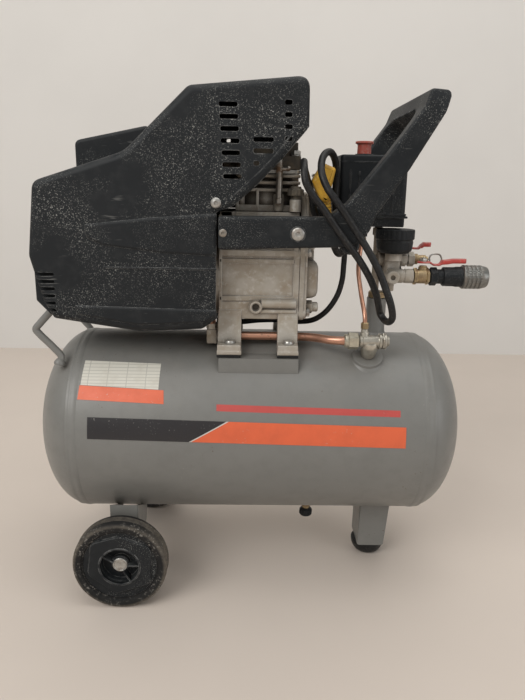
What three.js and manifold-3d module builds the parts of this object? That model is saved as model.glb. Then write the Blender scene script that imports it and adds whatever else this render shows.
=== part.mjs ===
// Wheeled direct-drive air compressor: horizontal tank on two wheels and one foot, a cast pump with its
// motor under a black shroud, a U-shaped carry handle, pressure switch, regulator, valves and quick coupler.
// Millimetres, +X along the tank towards the outlets, +Y to the side away from the valves, +Z up.
import * as THREE from 'three';
import { mergeVertices } from 'three/addons/utils/BufferGeometryUtils.js';
import Module from 'manifold-3d';

const wasm = await Module();
wasm.setup();

// ---------------------------------------------------------------- driving dimensions
const GAP = 0.3;                       // clearance between pieces that touch
const CENTRE_X = 10.25;                // middle of the object's length, counted from the tank's middle
const TANK = { radius: 123, half: 284.5, headDepth: 65, wall: 3, z: 212, sides: 36 };
const WHEEL = { x: -165.5, radius: 60, width: 31, outerY: 141, sides: 32 };
const FOOT = { x: 178, topRadius: 24, baseRadius: 15, height: 20 };
const CRANK = { z: 415, throw: 19, pumpX: 16 };
const ROD = { length: 86, bigEnd: 13, smallEnd: 8.5 };
const WRIST_Z = CRANK.z + CRANK.throw + ROD.length;
const BORE = 24;                       // cylinder bore radius
const CYLINDER = { base: 500.3, top: 545 };
const SHROUD = { halfWidth: 98, wall: 3, bevel: 9 };
const HANDLE = { halfWidth: 105, thickness: 25 };
const RISER = { x: 169, y: 4 };        // short pipe welded to the top of the tank
const STEM = { x: 165.5, y: 5 };       // stem of the manifold, eccentric in the riser's bush; carries the switch
const SWITCH = { low: 497, high: 570, x0: 104.5, x1: 190, halfY: 38 };
const OUTLET = { y: -25, z: 420 };     // axis of the front outlet
const REAR_VALVE = { x: 204, z: 440 };
const KNOB = { x: 182, y: -22, radius: 25 };
const BOSS = { x: 148, angle: Math.asin(62 / 123) };   // check-valve boss, leaning forward by this angle

// ---------------------------------------------------------------- materials
const paint = (color, roughness, metalness = 0) => new THREE.MeshStandardMaterial({ color, roughness, metalness });
const MATERIAL = {
  tankPaint: paint('#80807c', 0.5, 0.2),
  blackPlastic: paint('#23282c', 0.6),
  rubber: paint('#1c1c1c', 0.85),
  castAlloy: paint('#a89f90', 0.55, 0.7),
  darkAlloy: paint('#4a4640', 0.6, 0.6),
  steel: paint('#9a9a98', 0.35, 0.9),
  brass: paint('#a08050', 0.4, 0.9),
  copper: paint('#b0765c', 0.35, 0.9),
  redPlastic: paint('#b84a3c', 0.5),
  yellowPlastic: paint('#c8921e', 0.5),
  lamination: paint('#55504a', 0.6, 0.6),
  dial: paint('#e8e8e0', 0.5),
};

// ---------------------------------------------------------------- helpers: closed solids and how they are placed
const AXIS_BASIS = {
  // columns say where an outline's own x, its own y and its extrusion depth go
  x: [[0, 1, 0], [0, 0, 1], [1, 0, 0]],
  y: [[1, 0, 0], [0, 0, 1], [0, -1, 0]],
  z: [[1, 0, 0], [0, 1, 0], [0, 0, 1]],
};

function toSolid(geometry) {
  const bare = (geometry.index ? geometry.toNonIndexed() : geometry).clone();
  bare.deleteAttribute('normal');
  bare.deleteAttribute('uv');
  const merged = mergeVertices(bare, 1e-4);
  const mesh = new wasm.Mesh({
    numProp: 3,
    vertProperties: new Float32Array(merged.attributes.position.array),
    triVerts: new Uint32Array(merged.index.array),
  });
  mesh.merge();
  return new wasm.Manifold(mesh);
}

function toGeometry(solid) {
  const mesh = solid.getMesh();
  const geometry = new THREE.BufferGeometry();
  geometry.setAttribute('position', new THREE.BufferAttribute(new Float32Array(mesh.vertProperties), 3));
  geometry.setIndex(new THREE.BufferAttribute(new Uint32Array(mesh.triVerts), 1));
  geometry.computeVertexNormals();
  return geometry;
}

const joined = (...solids) => solids.reduce((sum, solid) => sum.add(solid));
const cut = (solid, ...tools) => tools.reduce((rest, tool) => rest.subtract(tool), solid);

function placed(geometry, matrix) {
  return toSolid(geometry.clone().applyMatrix4(matrix));
}

function box(low, high) {
  const size = high.map((value, i) => value - low[i]);
  const geometry = new THREE.BoxGeometry(...size);
  geometry.translate(...low.map((value, i) => value + size[i] / 2));
  return toSolid(geometry);
}

// a frustum from one point to another
function cone(from, to, radius0, radius1, sides = 16, turn = 0) {
  const start = new THREE.Vector3(...from);
  const along = new THREE.Vector3(...to).sub(start);
  const geometry = new THREE.CylinderGeometry(radius1, radius0, along.length(), sides);
  geometry.rotateY(turn);
  const matrix = new THREE.Matrix4().makeRotationFromQuaternion(
    new THREE.Quaternion().setFromUnitVectors(new THREE.Vector3(0, 1, 0), along.clone().normalize()));
  matrix.setPosition(start.addScaledVector(along, 0.5));
  return placed(geometry, matrix);
}

const rod = (from, to, radius, sides = 16) => cone(from, to, radius, radius, sides);
const hexBar = (from, to, acrossFlats, turn = 0) => cone(from, to, acrossFlats / 1.732, acrossFlats / 1.732, 6, turn);

// profile points are [radius, distance along the axis]
function turned(profile, base, direction, sides = 24) {
  const geometry = new THREE.LatheGeometry(profile.map(([r, h]) => new THREE.Vector2(r, h)), sides);
  const matrix = new THREE.Matrix4().makeRotationFromQuaternion(
    new THREE.Quaternion().setFromUnitVectors(new THREE.Vector3(0, 1, 0), new THREE.Vector3(...direction).normalize()));
  matrix.setPosition(...base);
  return placed(geometry, matrix);
}

// the points of an outline with rounded corners; each corner is [x, y, radius]
function outlinePoints(corners, steps = 3, leastRadius = 0) {
  const count = corners.length;
  return corners.flatMap(([x, y, radius = 0], i) => {
    const here = new THREE.Vector2(x, y);
    if (Math.max(radius, leastRadius) === 0) return [here];
    const before = new THREE.Vector2(...corners[(i + count - 1) % count]).sub(here);
    const after = new THREE.Vector2(...corners[(i + 1) % count]).sub(here);
    const halfAngle = before.angleTo(after) / 2;
    const wanted = Math.max(radius, leastRadius) / Math.tan(halfAngle);
    const reach = Math.max(0.05, Math.min(wanted, before.length() * 0.48, after.length() * 0.48));
    const enter = here.clone().addScaledVector(before.normalize(), reach);
    const leave = here.clone().addScaledVector(after.normalize(), reach);
    return new THREE.QuadraticBezierCurve(enter, here, leave).getPoints(steps);
  });
}

const roundedShape = (corners, steps) => new THREE.Shape(outlinePoints(corners, steps));

// an outline extruded along an axis from one coordinate to another; the y outline is drawn in (x, z)
function prism(corners, axis, from, to, steps = 3) {
  const geometry = new THREE.ExtrudeGeometry(roundedShape(corners, steps), { depth: to - from, bevelEnabled: false });
  const [u, v, w] = AXIS_BASIS[axis].map((column) => new THREE.Vector3(...column));
  const matrix = new THREE.Matrix4().makeBasis(u, v, w);
  const shift = { x: [from, 0, 0], y: [0, to, 0], z: [0, 0, from] }[axis];
  matrix.setPosition(...shift);
  return placed(geometry, matrix);
}

// a prism along Y whose two end faces have rounded edges: every ring is the outline moved inwards
function softPrism(corners, from, to, bevel, steps = 3) {
  const soft = bevel * 0.3;
  const layers = [[from, bevel], [from + soft, soft], [from + bevel, 0], [to - bevel, 0], [to - soft, soft], [to, bevel]];
  const rings = layers.map(([y, depth]) => {
    const moved = depth > 0 ? inset(corners, corners.map(() => depth)) : corners;
    return outlinePoints(moved, steps, 0.4).map((point) => [point.x, y, point.y]);
  });
  const size = rings[0].length;
  const clockwise = THREE.ShapeUtils.isClockWise(rings[2].map(([x, , z]) => new THREE.Vector2(x, z)));
  const faces = [];
  const cap = (ring, flip) => {
    const flat = rings[ring].map(([x, , z]) => new THREE.Vector2(x, z));
    for (const [a, b, c] of THREE.ShapeUtils.triangulateShape(flat, [])) {
      const face = [a, b, c].map((index) => ring * size + index);
      faces.push(flip ? face.reverse() : face);
    }
  };
  cap(0, false);
  cap(rings.length - 1, true);
  for (let ring = 0; ring < rings.length - 1; ring += 1) {
    for (let i = 0; i < size; i += 1) {
      const a = ring * size + i;
      const b = ring * size + ((i + 1) % size);
      faces.push(clockwise ? [a, b, b + size] : [a, b + size, b]);
      faces.push(clockwise ? [a, b + size, a + size] : [a, a + size, b + size]);
    }
  }
  const geometry = new THREE.BufferGeometry();
  geometry.setAttribute('position', new THREE.Float32BufferAttribute(rings.flat(2), 3));
  geometry.setIndex(faces.flat());
  const solid = toSolid(geometry);
  if (solid.volume() < 0) throw new Error('softPrism faces point inwards');
  return solid;
}

function tube(points, radius, sides = 8, steps = 24) {
  const section = new THREE.Shape();
  section.absarc(0, 0, radius, 0, Math.PI * 2);
  const path = new THREE.CatmullRomCurve3(points.map((p) => new THREE.Vector3(...p)), false, 'centripetal');
  const ring = new THREE.Shape(section.getSpacedPoints(sides).slice(0, sides));
  return toSolid(new THREE.ExtrudeGeometry(ring, { steps, extrudePath: path, bevelEnabled: false }));
}

// moves every edge of an outline inwards by its own distance; a negative distance moves it outwards
function inset(corners, distances) {
  const count = corners.length;
  const area = corners.reduce((sum, [x, y], i) => {
    const [nx, ny] = corners[(i + 1) % count];
    return sum + x * ny - nx * y;
  }, 0);
  const turn = Math.sign(area);
  const lines = corners.map(([x, y], i) => {
    const [nx, ny] = corners[(i + 1) % count];
    const length = Math.hypot(nx - x, ny - y);
    const dx = (nx - x) / length;
    const dy = (ny - y) / length;
    const d = distances[i] * turn;
    return { x: x - dy * d, y: y + dx * d, dx, dy };
  });
  return corners.map((corner, i) => {
    const a = lines[(i + count - 1) % count];
    const b = lines[i];
    const cross = a.dx * b.dy - a.dy * b.dx;
    if (Math.abs(cross) < 1e-6) return [b.x, b.y, corner[2]];
    const t = ((b.x - a.x) * b.dy - (b.y - a.y) * b.dx) / cross;
    return [a.x + a.dx * t, a.y + a.dy * t, Math.max(0, (corner[2] ?? 0) - Math.abs(distances[i]))];
  });
}

const compressor = new THREE.Group();
compressor.position.x = -CENTRE_X;

function add(name, solid, material) {
  const mesh = new THREE.Mesh(toGeometry(solid), material);
  mesh.name = name;
  compressor.add(mesh);
}

const tankCutter = (clearance) =>
  rod([-400, 0, TANK.z], [400, 0, TANK.z], (TANK.radius + clearance) / Math.cos(Math.PI / 96), 96);

// ---------------------------------------------------------------- tank
const SEAM_X = TANK.half - TANK.headDepth;

function bossPoint(distance, radius = TANK.radius) {
  const reach = radius + distance;
  return [BOSS.x, -reach * Math.sin(BOSS.angle), TANK.z + reach * Math.cos(BOSS.angle)];
}

function tankShell() {
  const { radius, wall, z, sides } = TANK;
  const end = SEAM_X - GAP / 2;
  const barrel = cut(
    rod([-end, 0, z], [end, 0, z], radius, sides),
    rod([-end - 1, 0, z], [end + 1, 0, z], radius - wall, sides));
  const pad = rod(bossPoint(-6), bossPoint(5), 20, 24);
  const drainBoss = rod([83, 0, z - radius - 9], [83, 0, z - radius + 6], 10, 12);
  const riser = rod([RISER.x, RISER.y, z + radius - 10], [RISER.x, RISER.y, 386], 13.3, 20);
  const inside = rod([-end - 1, 0, z], [end + 1, 0, z], radius - wall, sides);
  return cut(
    joined(barrel, pad.subtract(inside), drainBoss.subtract(inside), riser.subtract(inside)),
    rod(bossPoint(-20), bossPoint(20), 8, 12),
    rod([83, 0, z - radius - 20], [83, 0, z - radius + 20], 5.5, 8),
    rod([RISER.x, RISER.y, z + radius - 20], [RISER.x, RISER.y, 400], 9.6, 16));
}

// a dished end with a joggled lip that backs the weld inside the barrel
function tankHead(side) {
  const { radius, wall, headDepth, z, sides } = TANK;
  const dome = (dishRadius, depth, base, count) => Array.from({ length: count + 1 }, (_, i) => {
    const angle = (Math.PI / 2) * (i / count);
    return [i === count ? 0 : dishRadius * Math.cos(angle), base + depth * Math.sin(angle)];
  });
  const outer = dome(radius, headDepth - GAP / 2, GAP / 2, 5);
  const inner = dome(radius - 2 * wall, headDepth - wall, 0, 2);
  const lip = [[radius - wall - GAP, GAP / 2], [radius - wall - GAP, -9], [radius - 2 * wall, -9]];
  const profile = [...inner.reverse(), ...lip.reverse(), ...outer];
  return turned(profile, [side * SEAM_X, 0, z], [side, 0, 0], sides);
}

// ---------------------------------------------------------------- wheels, brackets and foot
const wheelAxleY = WHEEL.outerY - 18;

function tyre(side) {
  const { radius, width, outerY, x, sides } = WHEEL;
  const bead = 41;
  const profile = [
    [bead, 2], [radius - 7, 0], [radius - 2, 4], [radius, 9],
    [radius, width - 9], [radius - 2, width - 4], [radius - 7, width], [bead, width - 2], [bead, 2],
  ];
  return turned(profile, [x, side * (outerY - width), radius], [0, side, 0], sides);
}

function wheelHub(side) {
  const { width, outerY, x, radius } = WHEEL;
  const rim = 41 - GAP;
  const profile = [
    [6, 1], [15, 1], [15, 6], [34, 6], [rim, 3], [rim, width - 4], [37, width - 3],
    [20, width - 5], [17, width - 14], [6, width - 14], [6, 1],
  ];
  return turned(profile, [x, side * (outerY - width), radius], [0, side, 0], 20);
}

function axleBolt(side) {
  const { outerY, width, x, radius } = WHEEL;
  const faceY = outerY - width;
  return joined(
    rod([x, side * (faceY - 12), radius], [x, side * (outerY - 13), radius], 5.6, 16),
    hexBar([x, side * (outerY - 13.5), radius], [x, side * (outerY - 5), radius], 19),
    rod([x, side * (faceY - 12), radius], [x, side * (faceY - 6.4), radius], 9, 6));
}

// a folded channel: outer plate facing sideways, two flanges running in to the tank
function wheelBracket(side) {
  const { x, radius, outerY, width } = WHEEL;
  const plateY = outerY - width - 2.4;
  const outline = [[x - 16, 44, 8], [x + 16, 44, 8], [x + 20, 160], [x - 16, 160]];
  const plate = prism(outline, 'y', plateY - 3, plateY);
  const flangeLeft = prism([[x - 16, 56, 4], [x - 13, 56], [x - 13, 160], [x - 16, 160]], 'y', 62, plateY - 1);
  const flangeRight = prism([[x + 17, 56], [x + 20, 56], [x + 20, 160], [x + 17, 160]], 'y', 62, plateY - 1);
  const trimmed = cut(
    joined(plate, flangeLeft, flangeRight),
    prism([[60, 40], [plateY - 12, 40], [60, 96]], 'x', x - 30, x + 30),
    tankCutter(GAP),
    rod([x, 80, radius], [x, 140, radius], 6, 16));
  return side > 0 ? trimmed : trimmed.mirror([0, 1, 0]);
}

function footLeg() {
  const { x, height } = FOOT;
  const frontY = -24;
  const bottom = height + GAP;
  const plate = (y) => prism([[x - 19, bottom, 3], [x + 19, bottom, 3], [x + 25, 100], [x - 17, 100]], 'y', y, y + 3);
  const side = prism([[-24, bottom], [27, bottom], [27, 100], [-24, 100]], 'x', x - 19, x - 16);
  const sole = box([x - 19, frontY, bottom], [x + 19, 27, bottom + 3]);
  return cut(
    joined(plate(frontY), plate(24), side, sole),
    tankCutter(GAP),
    rod([x, 1.5, 0], [x, 1.5, 60], 5, 12));
}

function rubberFoot() {
  const { x, topRadius, baseRadius, height } = FOOT;
  const profile = [[0, 0], [baseRadius, 0], [baseRadius + 5, 5], [topRadius, height - 5], [topRadius, height], [0, height]];
  const stud = joined(
    rod([x, 1.5, height - 2], [x, 1.5, height + 10], 4.6, 12),
    hexBar([x, 1.5, height + 3 + 2 * GAP], [x, 1.5, height + 9], 13));
  return turned(profile, [x, 1.5, 0], [0, 0, 1], 24).add(stud);
}

// ---------------------------------------------------------------- saddles, crankcase and pump
const FOOT_TOP = 337;
const SADDLE = { top: 320.7, outerY: 84, innerY: 58 };

function saddle(side) {
  const { top, outerY, innerY } = SADDLE;
  const top2 = prism([[-43, -outerY, 3], [57.5, -outerY, 3], [57.5, -innerY + 8], [-43, -innerY + 8]], 'z', top - 3, top);
  const flange = box([-43, -outerY, 302], [57.5, -outerY + 3, top]);
  const tabs = joined(
    box([-30, -outerY, 298], [-18, -outerY + 3, 304]),
    box([33, -outerY, 297], [52, -outerY + 3, 304]));
  const bolts = joined(...[-29, 45].map((x) => joined(
    rod([x, -70, top - 5], [x, -70, FOOT_TOP + 1], 3.6, 8),
    hexBar([x, -70, top - 8], [x, -70, top - 2], 12))));
  const whole = cut(joined(top2, flange, tabs, bolts), tankCutter(GAP));
  return side < 0 ? whole : whole.mirror([0, 1, 0]);
}

function crankcase() {
  const wallZ = 370;
  const body = softPrism([[-44, wallZ, 4], [56, wallZ, 4], [56, 496, 4], [-44, 496, 4]], -57, 57, 4, 1);
  const motorFlange = rod([-52, 0, CRANK.z], [-43, 0, CRANK.z], 58, 24);
  const leg = (x0, x1, side) => {
    const outline = [[-80, 324], [-60, 324], [-40, 372], [-57, 376], [-66, 337], [-80, FOOT_TOP]];
    const shape = prism(outline, 'x', x0, x1);
    return side < 0 ? shape : shape.mirror([0, 1, 0]);
  };
  const legs = [-1, 1].flatMap((side) => [leg(-45, -15, side), leg(31, 57, side)]);
  const boss = rod([3, -63, 382], [3, -50, 382], 8, 12);
  const rib = rod([10, -57, 386], [54, -57, 386], 6.5, 8);
  const neckRibs = [-22, 3, 29].map((x) => box([x - 1.5, -54, 494], [x + 1.5, 54, 499]));
  const cavity = box([-28, -42, 377], [57, 42, 478]);
  const bore = rod([CRANK.pumpX, 0, 470], [CRANK.pumpX, 0, 510], 29, 24);
  const boltHoles = [-1, 1].flatMap((side) => [-29, 45].map((x) => rod([x, side * 70, 320], [x, side * 70, 345], 4.2, 8)));
  const coverFlange = prism([[-57, 366, 8], [57, 366, 8], [57, 458, 8], [-57, 458, 8]], 'x', 52, 57, 1);
  return cut(
    joined(body, motorFlange, ...legs, boss, rib, coverFlange, ...neckRibs),
    cavity, bore, ...boltHoles,
    rod([3, -70, 382], [3, -54, 382], 5, 8),
    rod([-60, 0, CRANK.z], [-20, 0, CRANK.z], 12, 24));
}

function crankcaseCover() {
  const x0 = 57 + GAP;
  const outline = [[-57, 364, 10], [57, 364, 10], [57, 462, 6], [45, 524, 4], [-45, 524, 4], [-57, 462, 6]];
  const plate = prism(outline, 'x', x0, x0 + 10, 2);
  const upperStep = prism([[-38, 450, 4], [38, 450, 4], [38, 509, 4], [-38, 509, 4]], 'x', x0 + 9, x0 + 20, 1);
  const bulge = prism([[-50, 390, 14], [50, 390, 14], [50, 440, 14], [-50, 440, 14]], 'x', x0 + 9, x0 + 25, 2);
  const bolts = [[-50, 450], [50, 450], [-50, 374], [50, 374], [0, 374], [-38, 516], [38, 516]].map(([y, z]) =>
    hexBar([x0 + 9, y, z], [x0 + 15, y, z], 10));
  const sightGlass = hexBar([x0 + 9, -40, 380], [x0 + 26, -40, 380], 15);
  return joined(plate, upperStep, bulge, ...bolts, sightGlass);
}

function cylinder() {
  const { base, top } = CYLINDER;
  const { pumpX } = CRANK;
  const core = rod([pumpX, 0, base], [pumpX, 0, top], BORE + 8, 20);
  const fins = [0, 1, 2, 3].map((i) => {
    const z = base + i * 12;
    return prism([[-24, -47, 10], [56, -47, 10], [56, 47, 10], [-24, 47, 10]], 'z', z, z + 4, 1);
  });
  const verticalRibs = [-22, 3, 29, 52].map((x) => box([x - 2, -48, base], [x + 2, 48, base + 26]));
  const fillerNeck = joined(rod([49, -58, base], [49, -58, 515.2], 7, 12), box([44, -56, base], [54, -45, 513]));
  return cut(
    joined(core, ...fins, ...verticalRibs, fillerNeck),
    rod([pumpX, 0, base - 5], [pumpX, 0, top + 5], BORE, 24));
}

function valvePlate() {
  return cut(
    prism([[-24, -44, 8], [56, -44, 8], [56, 44, 8], [-24, 44, 8]], 'z', CYLINDER.top + GAP, CYLINDER.top + 5),
    rod([CRANK.pumpX - 10, 0, 540], [CRANK.pumpX - 10, 0, 560], 4, 8),
    rod([CRANK.pumpX + 10, 0, 540], [CRANK.pumpX + 10, 0, 560], 4, 8));
}

function cylinderHead() {
  const base = CYLINDER.top + 5 + GAP;
  const { pumpX } = CRANK;
  const body = prism([[-24, -44, 8], [56, -44, 8], [56, 44, 8], [-24, 44, 8]], 'z', base, base + 16);
  const fins = [-36, -24, -12, 0, 12, 24, 36].map((y) => box([-20, y - 1.6, base + 14], [52, y + 1.6, base + 32]));
  const outletPort = hexBar([-40, -18, base + 9], [-20, -18, base + 9], 17, Math.PI / 6);
  const inletNeck = rod([pumpX + 20, 0, base + 12], [pumpX + 20, 0, base + 36], 12, 16);
  return cut(
    joined(body, ...fins, outletPort, inletNeck),
    rod([-45, -18, base + 9], [-14, -18, base + 9], 6.2, 12),
    rod([-14, -18, base + 9], [-14, -18, base - 5], 4, 8),
    rod([pumpX + 20, 0, base - 1], [pumpX + 20, 0, base + 40], 8, 12));
}

function intakeFilter() {
  const base = CYLINDER.top + 5 + GAP + 36 + GAP;
  const x = CRANK.pumpX + 20;
  return turned([[0, 0], [12, 0], [17, 3], [17, 24], [14, 28], [0, 28]], [x, 0, base], [0, 0, 1], 16);
}

// an elbow out of the casting, then straight up, with a hose nipple near the top
function breatherPipe() {
  const x = 29;
  const y = -54.5;
  return cut(
    joined(
      rod([x, -48 - GAP, 512], [x, y - 2, 512], 4.6, 10),
      rod([x, y, 510], [x, y, 562], 3.9, 10),
      rod([x + 2, y, 551], [x + 13, y, 551], 2.8, 8)),
    rod([x, y, 530], [x, y, 566], 2.2, 8));
}

function oilCap() {
  const profile = [[0, 0], [5, 0], [5, 4], [9.5, 4], [9.5, 12], [7, 15], [0, 15]];
  return turned(profile, [49, -58, 515.5], [0, 0, 1], 12);
}

function piston() {
  const { pumpX } = CRANK;
  const crown = WRIST_Z + 18;
  const body = rod([pumpX, 0, WRIST_Z - 16], [pumpX, 0, crown], BORE - 0.4, 24);
  const skirtHollow = box([pumpX - 12, -17, WRIST_Z - 20], [pumpX + 12, 17, WRIST_Z + 11]);
  const pin = rod([pumpX - 20, 0, WRIST_Z], [pumpX + 20, 0, WRIST_Z], 5, 16);
  return cut(body, skirtHollow).add(pin);
}

function connectingRod() {
  const { pumpX, z: crankZ, throw: radius } = CRANK;
  const pinZ = crankZ + radius;
  const small = rod([pumpX - 7, 0, WRIST_Z], [pumpX + 7, 0, WRIST_Z], ROD.smallEnd, 20);
  const big = rod([pumpX - 9, 0, pinZ], [pumpX + 9, 0, pinZ], ROD.bigEnd, 24);
  const shank = box([pumpX - 4, -6, pinZ + 6], [pumpX + 4, 6, WRIST_Z - 4]);
  const dipper = rod([pumpX, 0, pinZ - 10], [pumpX, 0, pinZ - ROD.bigEnd - 3], 2.5, 8);
  const crankPin = rod([CRANK_WEB.x1 + 0.5, 0, pinZ], [pumpX + 8, 0, pinZ], 7, 16);
  return cut(joined(small, big, shank, dipper), rod([pumpX - 9, 0, WRIST_Z], [pumpX + 9, 0, WRIST_Z], 5.4, 16))
    .add(crankPin);
}

// ---------------------------------------------------------------- motor
const CRANK_WEB = { x0: -14, x1: -4 };
const STATOR = { x0: -168, x1: -74, outer: 57, inner: 38 };
const FAN = { x0: -226, x1: -204 };

function crankshaft() {
  const z = CRANK.z;
  const shaft = joined(
    rod([FAN.x0 - 4, 0, z], [CRANK_WEB.x0 + 1, 0, z], 7, 16),
    rod([-46, 0, z], [CRANK_WEB.x0 + 1, 0, z], 9, 16));
  const web = prism([[-11, z + 28, 8], [11, z + 28, 8], [26, z - 18, 10], [14, z - 34, 8], [-14, z - 34, 8], [-26, z - 18, 10]],
    'x', CRANK_WEB.x0, CRANK_WEB.x1);
  return shaft.add(web);
}

function mainBearing() {
  const z = CRANK.z;
  return cut(rod([-44, 0, z], [-31, 0, z], 12 - GAP, 24), rod([-50, 0, z], [-20, 0, z], 9 + GAP, 24));
}

function stator() {
  const { x0, x1, outer, inner } = STATOR;
  const z = CRANK.z;
  const core = rod([x0 + 16, 0, z], [x1 - 16, 0, z], outer, 24);
  const windings = rod([x0, 0, z], [x1, 0, z], inner + 12, 24);
  return cut(joined(core, windings), rod([x0 - 1, 0, z], [x1 + 1, 0, z], inner, 24));
}

function rotor() {
  const { x0, x1, inner } = STATOR;
  const z = CRANK.z;
  return cut(
    joined(rod([x0 + 14, 0, z], [x1 - 14, 0, z], inner - 1, 24), rod([x0 + 6, 0, z], [x1 - 6, 0, z], inner - 8, 24)),
    rod([x0, 0, z], [x1, 0, z], 7 + GAP, 16));
}

// the bell holds the far bearing, and its four long bolts run beside the stator to the crankcase
function endBell() {
  const z = CRANK.z;
  const x0 = -194;
  const bell = turned([[7.5, 0], [20, 0], [58, 8], [58, 22], [54, 22], [50, 12], [20, 6], [7.5, 14], [7.5, 0]],
    [x0, 0, z], [1, 0, 0], 20);
  const bolts = [45, 135, 225, 315].map((degrees) => {
    const a = THREE.MathUtils.degToRad(degrees);
    const y = 60.5 * Math.cos(a);
    const boltZ = z + 60.5 * Math.sin(a);
    const lug = rod([x0 + 8, y * 0.97, z + (boltZ - z) * 0.97], [x0 + 18, y * 0.97, z + (boltZ - z) * 0.97], 5, 6);
    return joined(lug, rod([x0 + 5, y, boltZ], [-52 - GAP, y, boltZ], 2.6, 6));
  });
  return joined(bell, ...bolts);
}

function fan() {
  const { x0, x1 } = FAN;
  const z = CRANK.z;
  const hub = cut(rod([x0, 0, z], [x1, 0, z], 16, 20), rod([x0 - 1, 0, z], [x1 + 1, 0, z], 7 + GAP, 16));
  const disc = cut(rod([x1 - 3, 0, z], [x1, 0, z], 50, 24), rod([x0, 0, z], [x1 + 1, 0, z], 12, 12));
  const blades = Array.from({ length: 8 }, (_, i) => {
    const a = (i * Math.PI) / 4;
    const matrix = new THREE.Matrix4().makeRotationX(a);
    matrix.setPosition(x0 + 10, 0, z);
    const blade = new THREE.BoxGeometry(20, 34, 2);
    blade.translate(0, 31, 0);
    return placed(blade, matrix);
  });
  return joined(hub, disc, ...blades);
}

// ---------------------------------------------------------------- shroud
// outline in (x, z), starting at the top right corner and running down the pump side
const SHROUD_OUTLINE = [
  [59, 650, 14], [60, 592, 5], [31, 558, 0], [4, 530, 4], [-24, 505, 4], [-43, 498, 0], [-43, 374, 6],
  [-62, 360, 12], [-139, 356, 20], [-241, 371, 6], [-252, 391, 6], [-266, 446, 20], [-256, 531, 14],
  [-150, 566, 40], [-76, 637, 14],
];
// the side towards the pump has no wall: this outline cuts it open
const SHROUD_MOUTH = [
  [120, 596], [55.4, 596], [26.4, 562], [-0.3, 534], [-27, 510.5], [-49, 504], [-49, 376], [120, 376],
];
const HUMP = [[-238, 520, 0], [-238, 584, 9], [-140, 605, 6], [-140, 520, 0]];

function ventSlots() {
  const slot = (x, z, length) =>
    box([x, -110, z - 2.6], [x + length, 110, z + 2.6]);
  const firstColumn = Array.from({ length: 7 }, (_, i) => slot(-42.2 + i * 0.85, 617.2 - i * 12.85, 21));
  const secondColumn = [slot(-3.3, 580.7, 23), slot(-3.1, 568.5, 23), slot(-2.9, 555, 7)];
  const thirdColumn = Array.from({ length: 4 }, (_, i) => slot(31.2 + i * 0.4, 620.4 - i * 12.8, 8.6));
  return [...firstColumn, ...secondColumn, ...thirdColumn];
}

function shroudHalf(side) {
  const { halfWidth, wall, bevel } = SHROUD;
  const inner = inset(SHROUD_OUTLINE, SHROUD_OUTLINE.map(() => wall));
  const outerSolid = softPrism(SHROUD_OUTLINE, -halfWidth, halfWidth, bevel, 2);
  const innerSolid = softPrism(inner, -halfWidth + wall, halfWidth - wall, bevel - wall, 2);
  const mouth = prism(SHROUD_MOUTH, 'y', -halfWidth + wall, halfWidth - wall);
  const underside = box([-228, -72, 340], [-40, 72, 400]);
  const rodNotches = [-1, 1].map((s) => box([-262, s * 75 - 9, 350], [-236, s * 75 + 9, 400]));
  const louvres = Array.from({ length: 6 }, (_, i) => box([-275, -84, 380 + i * 8.6], [-245, 84, 384 + i * 8.6]));
  let shell = cut(outerSolid, innerSolid, mouth, underside, ...rodNotches, ...louvres);
  if (side > 0) {
    const humpInner = inset(HUMP, [wall, wall, wall, -6]);
    const hump = softPrism(HUMP, 28, halfWidth, 5).subtract(innerSolid);
    shell = cut(shell.add(hump), softPrism(humpInner, 28 + wall, halfWidth - wall, 2));
  }
  shell = cut(shell, ...ventSlots());
  const half = side < 0 ? box([-300, -200, 300], [100, -GAP / 2, 700]) : box([-300, GAP / 2, 300], [100, 200, 700]);
  return largestPiece(shell.intersect(half));
}

function largestPiece(solid) {
  return solid.decompose().sort((a, b) => b.volume() - a.volume())[0];
}

// ---------------------------------------------------------------- handle
const HANDLE_OUTLINE = [
  [-42.5, 496, 2], [84, 497, 10], [107, 514, 6], [149, 568, 0], [186, 619, 4], [193, 638.5, 2], [215, 637.5, 4], [217, 632, 6],
  [211, 614, 8], [175, 552, 0], [141, 501, 4], [133, 481, 10], [114, 463, 4], [-42.5, 457.5, 2],
];

function handle() {
  const { halfWidth, thickness } = HANDLE;
  const slab = prism(HANDLE_OUTLINE, 'y', -halfWidth, halfWidth);
  // the U is drawn in the plane of the arms: across the machine and up along the slope
  const along = new THREE.Vector3(77, 0, 129).normalize();
  const across = new THREE.Vector3(0, 1, 0);
  const normal = new THREE.Vector3().crossVectors(across, along);
  const plane = (corners, depth) => {
    const geometry = new THREE.ExtrudeGeometry(roundedShape(corners, 6), { depth: 2 * depth, bevelEnabled: false });
    geometry.translate(0, 0, -depth);
    const matrix = new THREE.Matrix4().makeBasis(across, along, normal);
    matrix.setPosition(134, 0, 485);
    return placed(geometry, matrix);
  };
  const inside = halfWidth - thickness;
  const topEdge = 190;
  const outer = plane([[-halfWidth, -420], [halfWidth, -420], [halfWidth, topEdge, 52], [-halfWidth, topEdge, 52]], 260);
  const window = plane([[-inside, -430], [inside, -430], [inside, 143, 34], [-inside, 143, 34]], 270);
  const lobes = [-1, 1].map((side) => rod([112, side * (halfWidth - 20), 465], [112, side * (halfWidth - 4), 465], 11, 12));
  return joined(cut(slab.intersect(outer), window), ...lobes);
}

// ---------------------------------------------------------------- riser, manifold, switch and regulator
function riserBush() {
  const { x, y } = RISER;
  return cut(
    joined(hexBar([x, y, 386 + GAP], [x, y, 395], 22), rod([x, y, 376], [x, y, 388], 9.1, 16)),
    rod([STEM.x, STEM.y, 370], [STEM.x, STEM.y, 400], 5.3 + GAP + 0.3, 12));
}

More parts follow.
